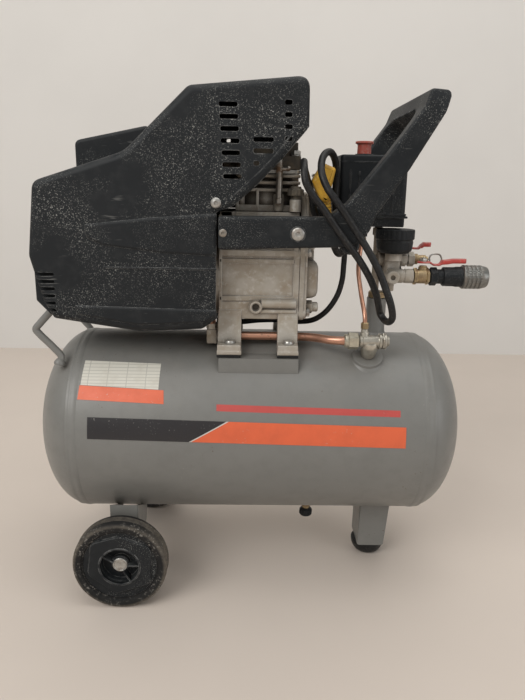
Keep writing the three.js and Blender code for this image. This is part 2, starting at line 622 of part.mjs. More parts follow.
function manifold() {
  const { x, y } = STEM;
  const stem = rod([x, y, 387], [x, y, 482.7], 5.3, 10);
  const upper = rod([x, -6, REAR_VALVE.z], [196, -6, REAR_VALVE.z], 9, 12);
  const upperHex = hexBar([195, -6, REAR_VALVE.z], [213, -6, REAR_VALVE.z], 17, Math.PI / 6);
  const bridge = box([172, -24, 412], [192, 2, 446]);
  const lower = rod([174, OUTLET.y, OUTLET.z], [208, OUTLET.y, OUTLET.z], 9.3, 12);
  const port = rod([180, OUTLET.y - 13, OUTLET.z - 1], [180, OUTLET.y, OUTLET.z - 1], 9, 12);
  const drop = rod([183, -12, 398], [183, -12, 414], 4.4, 8);
  const regulatorSeat = rod([KNOB.x, KNOB.y, 440], [KNOB.x, KNOB.y, 449.4], 11, 12);
  const rearPort = rod([REAR_VALVE.x, -6, REAR_VALVE.z], [REAR_VALVE.x, 7.5, REAR_VALVE.z], 7, 12);
  const gaugePort = rod([187, -6, 421], [187, 8, 421], 6, 12);
  return cut(
    joined(stem, upper, upperHex, bridge, lower, port, drop, regulatorSeat, rearPort, gaugePort),
    rod([180, OUTLET.y - 20, OUTLET.z - 1], [180, OUTLET.y - 6, OUTLET.z - 1], 3.4, 10));
}

function regulatorKnob() {
  const { x, y, radius } = KNOB;
  const profile = [[0, 0], [18, 0], [22.3, 3.5], [radius - 1.2, 15], [radius - 1.2, 17], [radius, 18], [radius, 30.5], [0, 30.5]];
  return turned(profile, [x, y, 449.7], [0, 0, 1], 20);
}

function switchBase() {
  const { low, x0, x1, halfY } = SWITCH;
  const plate = prism([[x0 - 1, -halfY - 1, 4], [x1 + 3, -halfY - 1, 4], [x1 + 3, halfY + 1, 4], [x0 - 1, halfY + 1, 4]],
    'z', low - 3, low - GAP);
  const body = prism([[x0 + 6, -halfY + 3, 4], [x1, -halfY + 3, 4], [x1, halfY - 3, 4], [x0 + 6, halfY - 3, 4]],
    'z', 483, low - 2);
  const unloader = rod([138, -30, 470], [138, -30, 485], 6.5, 10);
  const leadGland = rod([98.5, -10, 489], [x0 + 8, -10, 489], 6, 12);
  const cableGland = rod([119, -14, 470], [119, -14, 484], 7.5, 12);
  return joined(plate, body, unloader, leadGland, cableGland);
}

function switchCover() {
  const { low, high, x0, x1, halfY } = SWITCH;
  const shell = prism([[x0, -halfY, 7], [x1, -halfY, 7], [x1, halfY, 7], [x0, halfY, 7]], 'z', low, high);
  const cavity = prism([[x0 + 3, -halfY + 3, 5], [x1 - 3, -halfY + 3, 5], [x1 - 3, halfY - 3, 5], [x0 + 3, halfY - 3, 5]],
    'z', low - 1, high - 3);
  const collar = rod([138, -8, high - 1], [138, -8, high + 2], 11.5, 16);
  const ribs = [118, 129, 150, 161, 172].map((x) => box([x - 1, -halfY - 1, low + 3], [x + 1, -halfY + 1, 548]));
  return cut(
    joined(cut(shell, cavity), collar, ...ribs),
    rod([138, -8, high - 10], [138, -8, high + 10], 9.3, 16));
}

function switchKnob() {
  return turned([[0, -14], [5, -14], [5, 0], [8.9, 0], [8.9, 13], [11.4, 14], [11.4, 17], [0, 17]],
    [138, -8, SWITCH.high + 0.3], [0, 0, 1], 20);
}

// ---------------------------------------------------------------- outlets and small fittings
function frontValve() {
  const { y, z } = OUTLET;
  const x0 = 208 + GAP;
  return cut(
    joined(
      hexBar([x0, y, z], [x0 + 5, y, z], 19, Math.PI / 6),
      rod([x0 + 4, y, z], [x0 + 18, y, z], 9.5, 16),
      hexBar([x0 + 17, y, z], [229.4, y, z], 19, Math.PI / 6),
      rod([221, y, z], [221, y, 434], 6, 12)),
    rod([x0 - 1, y, z], [231, y, z], 4, 8));
}

// a stamped lever: boss over the stem, a dip, then the grip; it points along +X
function valveLever(x, y, z, length) {
  const strap = prism([
    [x - 8, z, 0], [x + 7, z, 2], [x + 14, z - 3.5, 2], [x + 20, z - 3.5, 2], [x + 26, z, 2], [x + length, z + 0.4, 0],
    [x + length, z + 5, 0], [x + 25, z + 6.5, 2], [x + 15, z + 2.5, 2], [x + 7, z + 3.5, 2], [x - 8, z + 3.5, 0],
  ], 'y', y - 6, y + 6);
  const plan = prism([[x - 8, y - 6, 5.9], [x + length, y - 6, 5.9], [x + length, y + 6, 5.9], [x - 8, y + 6, 5.9]], 'z', z - 20, z + 20);
  return strap.intersect(plan).add(hexBar([x, y, z + 1], [x, y, z + 7], 9));
}

function couplerBody() {
  const { y, z } = OUTLET;
  return cut(
    joined(
      hexBar([229.4 + GAP, y, z], [240, y, z], 21, Math.PI / 6),
      rod([239, y, z], [300.5, y, z], 9.5, 20)),
    rod([262, y, z], [310, y, z], 5.6, 16),
    rod([225, y, z], [265, y, z], 3.5, 10));
}

function couplerSleeve() {
  const { y, z } = OUTLET;
  const bore = 9.5 + GAP;
  const profile = [
    [bore, 0], [11.4, 0], [11.8, 14], [13.2, 17], [13.2, 24], [15.5, 26], [15.5, 50], [13, 57.5], [bore, 57.5], [bore, 0],
  ];
  return turned(profile, [247.5, y, z], [1, 0, 0], 18);
}

function rearValve() {
  const { x, z } = REAR_VALVE;
  const y0 = 7.5 + GAP;
  return cut(
    joined(
      hexBar([x, y0, z], [x, y0 + 5, z], 16),
      rod([x, y0 + 4, z], [x, y0 + 26, z], 8, 16),
      hexBar([x, y0 + 24, z], [x, y0 + 32, z], 15.2),
      rod([x, 20, z], [x, 20, z + 12.5], 4.5, 10)),
    rod([x, y0 - 1, z], [x, y0 + 40, z], 4, 8));
}

function gaugeCase() {
  const y0 = 8 + GAP;
  const base = [187, y0, 421];
  const profile = [[0, 0], [6, 0], [6, 5], [15, 6], [16.5, 8], [16.5, 22], [15, 22], [15, 14], [0, 14]];
  return turned(profile, base, [0, 1, 0], 24);
}

function gaugeNeedle() {
  return joined(
    rod([187, 22.8, 421], [187, 25.2, 421], 2.2, 10),
    rod([185.2, 23.8, 422.8], [194.8, 23.8, 413.2], 0.6, 6));
}

function safetyValve() {
  const x0 = 213 + GAP;
  const z = REAR_VALVE.z;
  return cut(
    turned([[0, 0], [7, 0], [7, 5], [5.4, 6], [5.4, 16], [3.6, 17], [3.6, 19], [0, 19]], [x0, -3, z], [1, 0, 0], 12),
    rod([x0 + 14, -3, z], [x0 + 24, -3, z], 1.7, 8));
}

function safetyRing() {
  const z = REAR_VALVE.z;
  const x0 = 213 + GAP + 19 + 1;
  const stem = rod([x0 - 4, -3, z], [x0 + 3, -3, z], 1.2, 8);
  const loop = tube([
    [x0 + 1, -3, z], [x0 + 3, -3, z + 5], [x0 + 8, -3, z + 7], [x0 + 15, -3, z + 6], [x0 + 18, -3, z],
    [x0 + 15, -3, z - 6], [x0 + 8, -3, z - 7], [x0 + 3, -3, z - 5], [x0 + 2, -3, z - 0.5],
  ], 1.1, 6, 18);
  return stem.add(loop);
}

function checkValve() {
  const centre = bossPoint(30);
  const neck = cone(bossPoint(5 + GAP), bossPoint(24), 8.5, 11.5, 12);
  const spigot = rod(bossPoint(-8), bossPoint(8), 7.2, 12);
  const [, y, z] = centre;
  const body = turned([[0, 0], [7.6, 0], [7.6, 24], [10.2, 25], [10.2, 28], [8.8, 29], [8.8, 31], [10.2, 32], [10.2, 34], [6.5, 35], [6.5, 38], [0, 38]],
    [133, y, z], [1, 0, 0], 12);
  const bulb = cone(bossPoint(23), bossPoint(32), 11.5, 9, 12);
  const unloaderPort = rod([140, y, z], [140, y + 2, z + 15], 5.5, 8);
  return joined(spigot, neck, bulb, body, unloaderPort);
}

function dischargePipe() {
  const [, y, z] = bossPoint(30);
  const headZ = CYLINDER.top + 5 + GAP + 9;
  const nut = joined(hexBar([116, y, z], [133 - GAP, y, z], 19), rod([114, y, z], [117, y, z], 9, 16));
  const elbow = joined(
    box([-60, -51, 331], [-46, -37, 351]),
    hexBar([-53, -44, 350], [-53, -44, 358], 14));
  const run = tube([[125, y, z], [112, y, z], [97, y + 6, z - 0.5], [80, -56, 342.5], [66, -46.5, 341.2], [50, -44, 341], [-53, -44, 341]], 5.4, 8, 14);
  const climb = tube([
    [-53, -44, 348], [-53.5, -45, 360], [-57, -58, 376], [-62, -70, 400], [-64, -72, 470], [-62, -60, 530], [-58, -40, 556],
    [-50, -20, headZ], [-40, -18, headZ], [-20, -18, headZ],
  ], 5.4, 8, 22);
  return joined(elbow, run, climb, nut);
}

function unloaderTube() {
  const [, y, z] = bossPoint(30);
  return tube([[138, -30, 469.7], [137, -30, 455], [134.5, -36, 430], [137, -52, 400], [139.5, y + 3, 374], [140, y + 2.4, z + 16]], 2.8, 6, 18);
}

function drainValve() {
  const z = TANK.z - TANK.radius - 9 - GAP;
  return cut(joined(
    rod([83, 0, z - 3], [83, 0, z + 10], 4.7, 12),
    hexBar([83, 0, z - 9], [83, 0, z], 12)),
    rod([83, 0, z - 20], [83, 0, z + 20], 2, 8));
}

function drainKnob() {
  const z = TANK.z - TANK.radius - 18 - 2 * GAP;
  return turned([[0, -14], [7, -14], [9.5, -10], [9.5, -3], [6, -1], [4, 0], [0, 0]], [83, 0, z], [0, 0, 1], 14);
}

// a bent bar that stays the shroud: up from the tank's end, across inside the shroud and down again
function stayRod() {
  const half = [
    [-243, -77, 309], [-241, -75, 318], [-250, -75, 330], [-266, -75, 347], [-270, -75, 353], [-264, -75, 361],
    [-252, -75, 374], [-242, -74, 385], [-238, -66, 391], [-237, -50, 392],
  ];
  const mirrored = half.map(([x, y, z]) => [x, -y, z]).reverse();
  const bar = tube([...half, [-237, 0, 392], ...mirrored], 4.5, 6, 40);
  const head = turned([[0, -10], [TANK.radius + GAP, -10], ...Array.from({ length: 8 }, (_, i) => {
    const angle = (Math.PI / 2) * (i / 7);
    return [i === 7 ? 0 : (TANK.radius + GAP) * Math.cos(angle), (TANK.headDepth + GAP) * Math.sin(angle)];
  })], [-SEAM_X, 0, TANK.z], [-1, 0, 0], 64);
  return largestPiece(bar.subtract(head));
}

function motorCable() {
  return tube([
    [119, -14, 469.7], [119, -15, 452], [118.5, -15, 432], [117.5, -15, 412], [112, -15, 391], [99, -14, 370],
    [83, -10, 357], [64, -2, 352], [40, 2, 353], [10, 4, 352], [-20, 4, 349], [-50, 4, 351],
  ], 3.7, 6, 26);
}

// ---------------------------------------------------------------- mains lead, folded over the handle
const LEAD_RADIUS = 4.25;
// from the gland, up and over into the first loop, down in front of the handle, back up, over into the
// second loop, down behind the handle and up to the plug
const LEAD_ROUTE = [
  [98.2, -10, 489], [92, -10, 489], [87, -15, 489], [84.5, -31, 489], [79, -49, 491], [72, -61, 502], [68, -66, 520],
  [62, -68, 538], [57, -76, 552], [55, -92, 558], [54.5, -106, 551], [56, -113, 536], [64, -114, 522],
  [77, -112.5, 507], [92, -111.5, 487], [107, -111, 468], [122, -110, 449], [136, -107, 428], [146, -101, 408],
  [152, -92, 392], [156, -86, 381], [160, -93, 375], [163, -104, 375], [164.5, -114, 382], [161, -119, 397],
  [154, -119, 415], [145, -117, 436], [133, -115, 457], [119, -113, 478], [105, -112, 498], [92, -111, 515],
  [81, -107, 530], [75, -100, 546], [76, -88, 560], [82, -74, 569], [90, -60, 570], [97, -48, 560],
  [99.3, -43, 542], [99.3, -43, 520], [101, -43.5, 500], [106, -42, 480], [111, -42, 464], [110, -52, 453],
  [103, -64, 452], [96, -71, 464], [91, -69, 481], [88.3, -64.2, 496.5],
];

function mainsLead() {
  return tube(LEAD_ROUTE, LEAD_RADIUS, 6, 72);
}

// a right-angled plug: the lead leaves at the bottom, the pins point to +Y
function mainsPlug() {
  const outline = [[67, 537, 4], [79, 558, 4], [95, 552, 4], [90, 528, 3], [87, 512, 2], [78, 515, 2]];
  const body = prism(outline, 'y', -76, -49, 2);
  const sleeve = cone([83.5, -62, 516], [88.1, -63.8, 498], 8, 5.2, 12);
  const pins = [-9.5, 9.5].map((offset) => rod([81 + offset * 0.9, -51, 540 - offset * 0.4], [81 + offset * 0.9, -31, 540 - offset * 0.4], 2.4, 8));
  return joined(body, sleeve, ...pins);
}

// ---------------------------------------------------------------- assembly
add('tank_shell', tankShell(), MATERIAL.tankPaint);
add('tank_head_left', tankHead(-1), MATERIAL.tankPaint);
add('tank_head_right', tankHead(1), MATERIAL.tankPaint);
for (const [name, side] of [['front', -1], ['rear', 1]]) {
  add(`tyre_${name}`, tyre(side), MATERIAL.rubber);
  add(`wheel_hub_${name}`, wheelHub(side), MATERIAL.blackPlastic);
  add(`axle_bolt_${name}`, axleBolt(side), MATERIAL.steel);
  add(`wheel_bracket_${name}`, wheelBracket(side), MATERIAL.tankPaint);
  add(`saddle_${name}`, saddle(side), MATERIAL.tankPaint);
  add(`shroud_${name}`, shroudHalf(side), MATERIAL.blackPlastic);
}
add('foot_leg', footLeg(), MATERIAL.tankPaint);
add('rubber_foot', rubberFoot(), MATERIAL.rubber);
add('crankcase', crankcase(), MATERIAL.castAlloy);
add('crankcase_cover', crankcaseCover(), MATERIAL.castAlloy);
add('cylinder', cylinder(), MATERIAL.castAlloy);
add('valve_plate', valvePlate(), MATERIAL.steel);
add('cylinder_head', cylinderHead(), MATERIAL.darkAlloy);
add('intake_filter', intakeFilter(), MATERIAL.blackPlastic);
add('breather_pipe', breatherPipe(), MATERIAL.steel);
add('oil_cap', oilCap(), MATERIAL.blackPlastic);
add('piston', piston(), MATERIAL.castAlloy);
add('connecting_rod', connectingRod(), MATERIAL.castAlloy);
add('crankshaft', crankshaft(), MATERIAL.steel);
add('main_bearing', mainBearing(), MATERIAL.steel);
add('stator', stator(), MATERIAL.lamination);
add('rotor', rotor(), MATERIAL.lamination);
add('end_bell', endBell(), MATERIAL.castAlloy);
add('fan', fan(), MATERIAL.blackPlastic);
add('handle', handle(), MATERIAL.blackPlastic);
add('riser_bush', riserBush(), MATERIAL.brass);
add('manifold', manifold(), MATERIAL.castAlloy);
add('regulator_knob', regulatorKnob(), MATERIAL.blackPlastic);
add('switch_base', switchBase(), MATERIAL.blackPlastic);
add('switch_cover', switchCover(), MATERIAL.blackPlastic);
add('switch_knob', switchKnob(), MATERIAL.redPlastic);
add('ball_valve_front', frontValve(), MATERIAL.brass);
add('valve_lever_front', valveLever(221, OUTLET.y, 436, 56), MATERIAL.redPlastic);
add('coupler_body', couplerBody(), MATERIAL.steel);
add('coupler_sleeve', couplerSleeve(), MATERIAL.blackPlastic);
add('ball_valve_rear', rearValve(), MATERIAL.brass);
add('valve_lever_rear', valveLever(REAR_VALVE.x, 20, REAR_VALVE.z + 12.5 + GAP, 38), MATERIAL.redPlastic);
add('gauge_case', gaugeCase(), MATERIAL.steel);
add('gauge_needle', gaugeNeedle(), MATERIAL.dial);
add('safety_valve', safetyValve(), MATERIAL.brass);
add('safety_ring', safetyRing(), MATERIAL.steel);
add('check_valve', checkValve(), MATERIAL.steel);
add('discharge_pipe', dischargePipe(), MATERIAL.copper);
add('unloader_tube', unloaderTube(), MATERIAL.copper);
add('drain_valve', drainValve(), MATERIAL.brass);
add('drain_knob', drainKnob(), MATERIAL.blackPlastic);
add('stay_rod', stayRod(), MATERIAL.tankPaint);
add('motor_cable', motorCable(), MATERIAL.rubber);
add('mains_lead', mainsLead(), MATERIAL.rubber);
add('mains_plug', mainsPlug(), MATERIAL.yellowPlastic);

export default compressor;
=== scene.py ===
import math

import bmesh
import bpy
from mathutils import Matrix, Vector, noise


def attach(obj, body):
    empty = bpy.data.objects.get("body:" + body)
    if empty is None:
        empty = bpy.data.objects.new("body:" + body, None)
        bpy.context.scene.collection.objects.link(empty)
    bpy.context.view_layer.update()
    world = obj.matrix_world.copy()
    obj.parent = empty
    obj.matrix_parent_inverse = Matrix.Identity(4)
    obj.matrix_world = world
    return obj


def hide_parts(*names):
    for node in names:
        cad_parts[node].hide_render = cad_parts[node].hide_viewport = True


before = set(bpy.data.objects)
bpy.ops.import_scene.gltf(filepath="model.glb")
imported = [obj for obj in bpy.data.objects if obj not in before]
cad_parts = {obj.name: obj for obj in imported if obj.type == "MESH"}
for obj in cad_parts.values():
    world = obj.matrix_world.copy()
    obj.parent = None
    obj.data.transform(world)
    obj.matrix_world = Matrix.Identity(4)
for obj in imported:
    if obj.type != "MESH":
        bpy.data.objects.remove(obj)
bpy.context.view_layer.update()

MM = 0.001
CENTRE_X = 10.25
TANK_R, TANK_Z, SEAM_X, HEAD_DEPTH = 123.0, 212.0, 219.5, 65.0
AXLE_X, WHEEL_RADIUS, WHEEL_WIDTH = -165.5, 60, 31
WHEEL_OUTER = 141               # outer face of a wheel, from the middle of the tank
FOOT_X, DRAIN_X = 178, 83
BEVEL_FROM = 32                 # degrees: edges that turn by more than this are rounded
FLOOR_HALF, FLOOR_FRONT, WALL_Y, WALL_TOP = 6000, -4000, 1150, 5000


def place(point):
    """A point in millimetres to the row frame in metres."""
    return Vector(((point[0] - CENTRE_X) * MM, point[1] * MM, point[2] * MM))


# ------------------------------------------------------------------ shapes: (points, faces) in millimetres
def loft(rings, capped=True):
    count = len(rings[0])
    faces = []
    for k in range(len(rings) - 1):
        for i in range(count):
            j = (i + 1) % count
            faces.append((k * count + i, k * count + j, (k + 1) * count + j, (k + 1) * count + i))
    if capped:
        faces.append(tuple(reversed(range(count))))
        faces.append(tuple(range((len(rings) - 1) * count, len(rings) * count)))
    return [tuple(p) for ring in rings for p in ring], faces


def together(*shapes):
    points, faces = [], []
    for more_points, more_faces in shapes:
        start = len(points)
        points += more_points
        faces += [tuple(i + start for i in face) for face in more_faces]
    return points, faces


def moved(shape, matrix):
    return [tuple(matrix @ Vector(p)) for p in shape[0]], shape[1]


def shifted(shape, x=0, y=0, z=0):
    return [(p[0] + x, p[1] + y, p[2] + z) for p in shape[0]], shape[1]


def mirrored(shape):
    return [(x, -y, z) for x, y, z in shape[0]], shape[1]


def basis(direction, side=None):
    """Two unit vectors that are square to a direction."""
    d = Vector(direction).normalized()
    start = Vector(side) if side else (Vector((0, 0, 1)) if abs(d.z) < 0.9 else Vector((1, 0, 0)))
    u = (start - d * start.dot(d)).normalized()
    return d, u, d.cross(u)


def lathe(profile, base, direction, sides=48):
    """profile is [(radius, distance along the axis)]; ends that stop at the axis are closed by merging."""
    d, u, v = basis(direction)
    base = Vector(base)
    rings = []
    for radius, along in profile:
        rings.append([tuple(base + d * along + (u * math.cos(a) + v * math.sin(a)) * radius)
                      for a in (2 * math.pi * i / sides for i in range(sides))])
    closed = profile[0] == profile[-1]
    return loft(rings, capped=not closed and profile[0][0] > 0 and profile[-1][0] > 0)


def rod(start, end, radius, sides=32, chamfer=0.0):
    length = (Vector(end) - Vector(start)).length
    direction = Vector(end) - Vector(start)
    if chamfer:
        profile = [(radius - chamfer, 0), (radius, chamfer), (radius, length - chamfer),
                   (radius - chamfer, length)]
    else:
        profile = [(radius, 0), (radius, length)]
    return lathe(profile, start, direction, sides)


def hexagon(start, end, across, turn=0.0, chamfer=0.8):
    """A hexagonal bar whose ends are chamfered as a nut's are; turn is in degrees."""
    start, end = Vector(start), Vector(end)
    d, u, v = basis(end - start)
    length, radius, inner = (end - start).length, across / 1.732, across / 2
    rings = []
    for along, factor in ((0, (inner * 0.97) / radius), (chamfer, 1), (length - chamfer, 1),
                          (length, (inner * 0.97) / radius)):
        ring = []
        for i in range(6):
            a = math.radians(60 * i + turn)
            ring.append(tuple(start + d * along + (u * math.cos(a) + v * math.sin(a)) * radius * factor))
        rings.append(ring)
    return loft(rings)


def box(low, high):
    (x0, y0, z0), (x1, y1, z1) = low, high
    return loft([[(x0, y0, z0), (x1, y0, z0), (x1, y1, z0), (x0, y1, z0)],
                 [(x0, y0, z1), (x1, y0, z1), (x1, y1, z1), (x0, y1, z1)]])


def rounded(corners, steps=5):
    """Outline points with rounded corners; each corner is (a, b) or (a, b, radius)."""
    points, count = [], len(corners)
    for i, corner in enumerate(corners):
        here = Vector(corner[:2])
        radius = corner[2] if len(corner) > 2 else 0
        if not radius:
            points.append(tuple(here))
            continue
        before = Vector(corners[i - 1][:2]) - here
        after = Vector(corners[(i + 1) % count][:2]) - here
        half = before.angle(after) / 2
        reach = max(0.05, min(radius / math.tan(half), before.length * 0.48, after.length * 0.48))
        a, b = here + before.normalized() * reach, here + after.normalized() * reach
        for s in range(steps + 1):
            t = s / steps
            points.append(tuple(a * (1 - t) ** 2 + here * 2 * t * (1 - t) + b * t * t))
    return points


AXES = {"x": lambda a, b, c: (c, a, b), "y": lambda a, b, c: (a, c, b), "z": lambda a, b, c: (a, b, c)}


def prism(corners, axis, low, high, steps=5):
    to3d = AXES[axis]
    outline = rounded(corners, steps)
    return loft([[to3d(a, b, level) for a, b in outline] for level in (low, high)])


def inset(points, distance):
    """Moves a closed outline of 2-D points inwards; every point moves along its corner's bisector."""
    count = len(points)
    area = sum(points[i][0] * points[(i + 1) % count][1] - points[(i + 1) % count][0] * points[i][1]
               for i in range(count))
    turn = 1 if area > 0 else -1
    moved_points = []
    for i in range(count):
        p, here, q = Vector(points[i - 1]), Vector(points[i]), Vector(points[(i + 1) % count])
        e0, e1 = (here - p).normalized(), (q - here).normalized()
        n0, n1 = Vector((-e0.y, e0.x)) * turn, Vector((-e1.y, e1.x)) * turn
        middle = n0 + n1
        scale = distance / max(0.35, (1 + n0.dot(n1)) / 2) / 2
        moved_points.append(tuple(here + middle * scale))
    return moved_points


def pillow(outline, axis, levels):
    """A loft of one outline: levels are (coordinate, inset), so that its edges can be rounded."""
    to3d = AXES[axis]
    return loft([[to3d(a, b, level) for a, b in (inset(outline, depth) if depth else outline)] for level,
                 depth in levels])


def soft_levels(low, high, bevel, steps=4):
    """Levels for pillow() with quarter-round edges at both ends."""
    angles = [math.pi / 2 * i / steps for i in range(steps + 1)]
    rise = [(low + bevel * (1 - math.cos(a)), bevel * (1 - math.sin(a))) for a in angles]
    fall = [(high - (level - low), depth) for level, depth in reversed(rise)]
    return rise + fall


def spline(points, spacing=2.0):
    """Centripetal Catmull-Rom curve through the points, sampled evenly."""
    pts = [Vector(p) for p in points]
    ext = [pts[0] * 2 - pts[1]] + pts + [pts[-1] * 2 - pts[-2]]
    dense = []
    for i in range(1, len(ext) - 2):
        p0, p1, p2, p3 = ext[i - 1:i + 3]
        t0 = 0.0
        t1 = t0 + max(1e-6, (p1 - p0).length) ** 0.5
        t2 = t1 + max(1e-6, (p2 - p1).length) ** 0.5
        t3 = t2 + max(1e-6, (p3 - p2).length) ** 0.5
        for s in range(16):
            t = t1 + (t2 - t1) * s / 16
            a1 = p0 * ((t1 - t) / (t1 - t0)) + p1 * ((t - t0) / (t1 - t0))
            a2 = p1 * ((t2 - t) / (t2 - t1)) + p2 * ((t - t1) / (t2 - t1))
            a3 = p2 * ((t3 - t) / (t3 - t2)) + p3 * ((t - t2) / (t3 - t2))
            b1 = a1 * ((t2 - t) / (t2 - t0)) + a2 * ((t - t0) / (t2 - t0))
            b2 = a2 * ((t3 - t) / (t3 - t1)) + a3 * ((t - t1) / (t3 - t1))
            dense.append(b1 * ((t2 - t) / (t2 - t1)) + b2 * ((t - t1) / (t2 - t1)))
    dense.append(pts[-1])
    lengths = [0.0]
    for a, b in zip(dense, dense[1:]):
        lengths.append(lengths[-1] + (b - a).length)
    count = max(2, round(lengths[-1] / spacing))
    out, k = [], 0
    for i in range(count + 1):
        target = lengths[-1] * i / count
        while k < len(lengths) - 2 and lengths[k + 1] < target:
            k += 1
        span = max(1e-9, lengths[k + 1] - lengths[k])
        out.append(dense[k].lerp(dense[k + 1], (target - lengths[k]) / span))
    return out, lengths[-1]


def swept(points, radius, sides=16, spacing=2.0, closed_ends=True):
    """A round tube along a curve; radius is a number or a function of the share of the length."""
    path, _ = spline(points, spacing)
    size = radius if callable(radius) else (lambda share: radius)
    tangent = (path[1] - path[0]).normalized()
    _, u, _ = basis(tangent)
    rings = []
    for i, here in enumerate(path):
        ahead = (path[min(i + 1, len(path) - 1)] - path[max(i - 1, 0)]).normalized()
        u = (u - ahead * u.dot(ahead)).normalized()
        v = ahead.cross(u)
        r = size(i / (len(path) - 1))
        rings.append([tuple(here + (u * math.cos(a) + v * math.sin(a)) * r)
                      for a in (2 * math.pi * s / sides for s in range(sides))])
    return loft(rings, capped=closed_ends)


# ------------------------------------------------------------------ from shapes to pieces
def to_mesh(name, shape):
    mesh = bpy.data.meshes.new(name)
    bm = bmesh.new()
    verts = [bm.verts.new(place(p)) for p in shape[0]]
    for face in shape[1]:
        try:
            bm.faces.new([verts[i] for i in face])
        except ValueError:
            pass
    bmesh.ops.remove_doubles(bm, verts=bm.verts, dist=2e-6)
    bmesh.ops.dissolve_degenerate(bm, dist=1e-7, edges=bm.edges)
    bmesh.ops.recalc_face_normals(bm, faces=bm.faces)
    bm.to_mesh(mesh)
    bm.free()
    return mesh


def new_object(name, mesh):
    obj = bpy.data.objects.new(name, mesh)
    bpy.context.scene.collection.objects.link(obj)
    return obj


def baked(obj):
    """Applies the object's modifiers."""
    graph = bpy.context.evaluated_depsgraph_get()
    mesh = bpy.data.meshes.new_from_object(obj.evaluated_get(graph))
    obj.modifiers.clear()
    old, obj.data = obj.data, mesh
    bpy.data.meshes.remove(old)
    return obj


def carved(shape, *tools):
    """A shape with other shapes cut out of it, one after another."""
    obj = new_object("carving", to_mesh("carving", shape))
    for tool in tools:
        combine(obj, tool, "DIFFERENCE")
    points = [(v.co.x / MM + CENTRE_X, v.co.y / MM, v.co.z / MM) for v in obj.data.vertices]
    faces = [tuple(p.vertices) for p in obj.data.polygons]
    bpy.data.objects.remove(obj)
    return points, faces


def combine(obj, shape, operation):
    """Cuts a shape out of the object, or joins it on."""
    tool = new_object("tool", to_mesh("tool", shape))
    modifier = obj.modifiers.new("cut", "BOOLEAN")
    modifier.operation, modifier.object, modifier.solver = operation, tool, "EXACT"
    modifier.use_self = True
    baked(obj)
    bpy.data.objects.remove(tool)


def smooth(mesh, angle):
    bm = bmesh.new()
    bm.from_mesh(mesh)
    for face in bm.faces:
        face.smooth = True
    limit = math.radians(angle)
    for edge in bm.edges:
        edge.smooth = len(edge.link_faces) == 2 and edge.calc_face_angle(0) < limit
    bm.to_mesh(mesh)
    bm.free()


def shade(obj, angle):
    """Smooth shading up to an angle, with flat faces kept flat."""
    smooth(obj.data, angle)
    modifier = obj.modifiers.new("normals", "WEIGHTED_NORMAL")
    modifier.keep_sharp = True
    baked(obj)


def piece(name, shape, finish, body="frame", stands_for=(), cuts=None, joins=None,
          bevel=0.0, segments=3, angle=38, warp=None):
    """One visible piece: shape, cuts, rounded edges, smooth shading, finish, and the body it rides on."""
    obj = new_object(name, to_mesh(name, shape))
    if joins:
        combine(obj, joins, "UNION")
    for tool in cuts if isinstance(cuts, list) else [cuts] if cuts else []:
        combine(obj, tool, "DIFFERENCE")
    if bevel:
        modifier = obj.modifiers.new("edges", "BEVEL")
        modifier.width, modifier.segments = bevel * MM, segments
        modifier.limit_method, modifier.angle_limit = "ANGLE", math.radians(BEVEL_FROM)
        modifier.use_clamp_overlap, modifier.miter_outer = True, "MITER_ARC"
        baked(obj)
    if warp:
        for vertex in obj.data.vertices:
            vertex.co = warp(vertex.co)
    shade(obj, angle)
    obj.data.materials.clear()
    obj.data.materials.append(finish)
    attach(obj, body)
    if stands_for:
        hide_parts(*([stands_for] if isinstance(stands_for, str) else stands_for))
    return obj


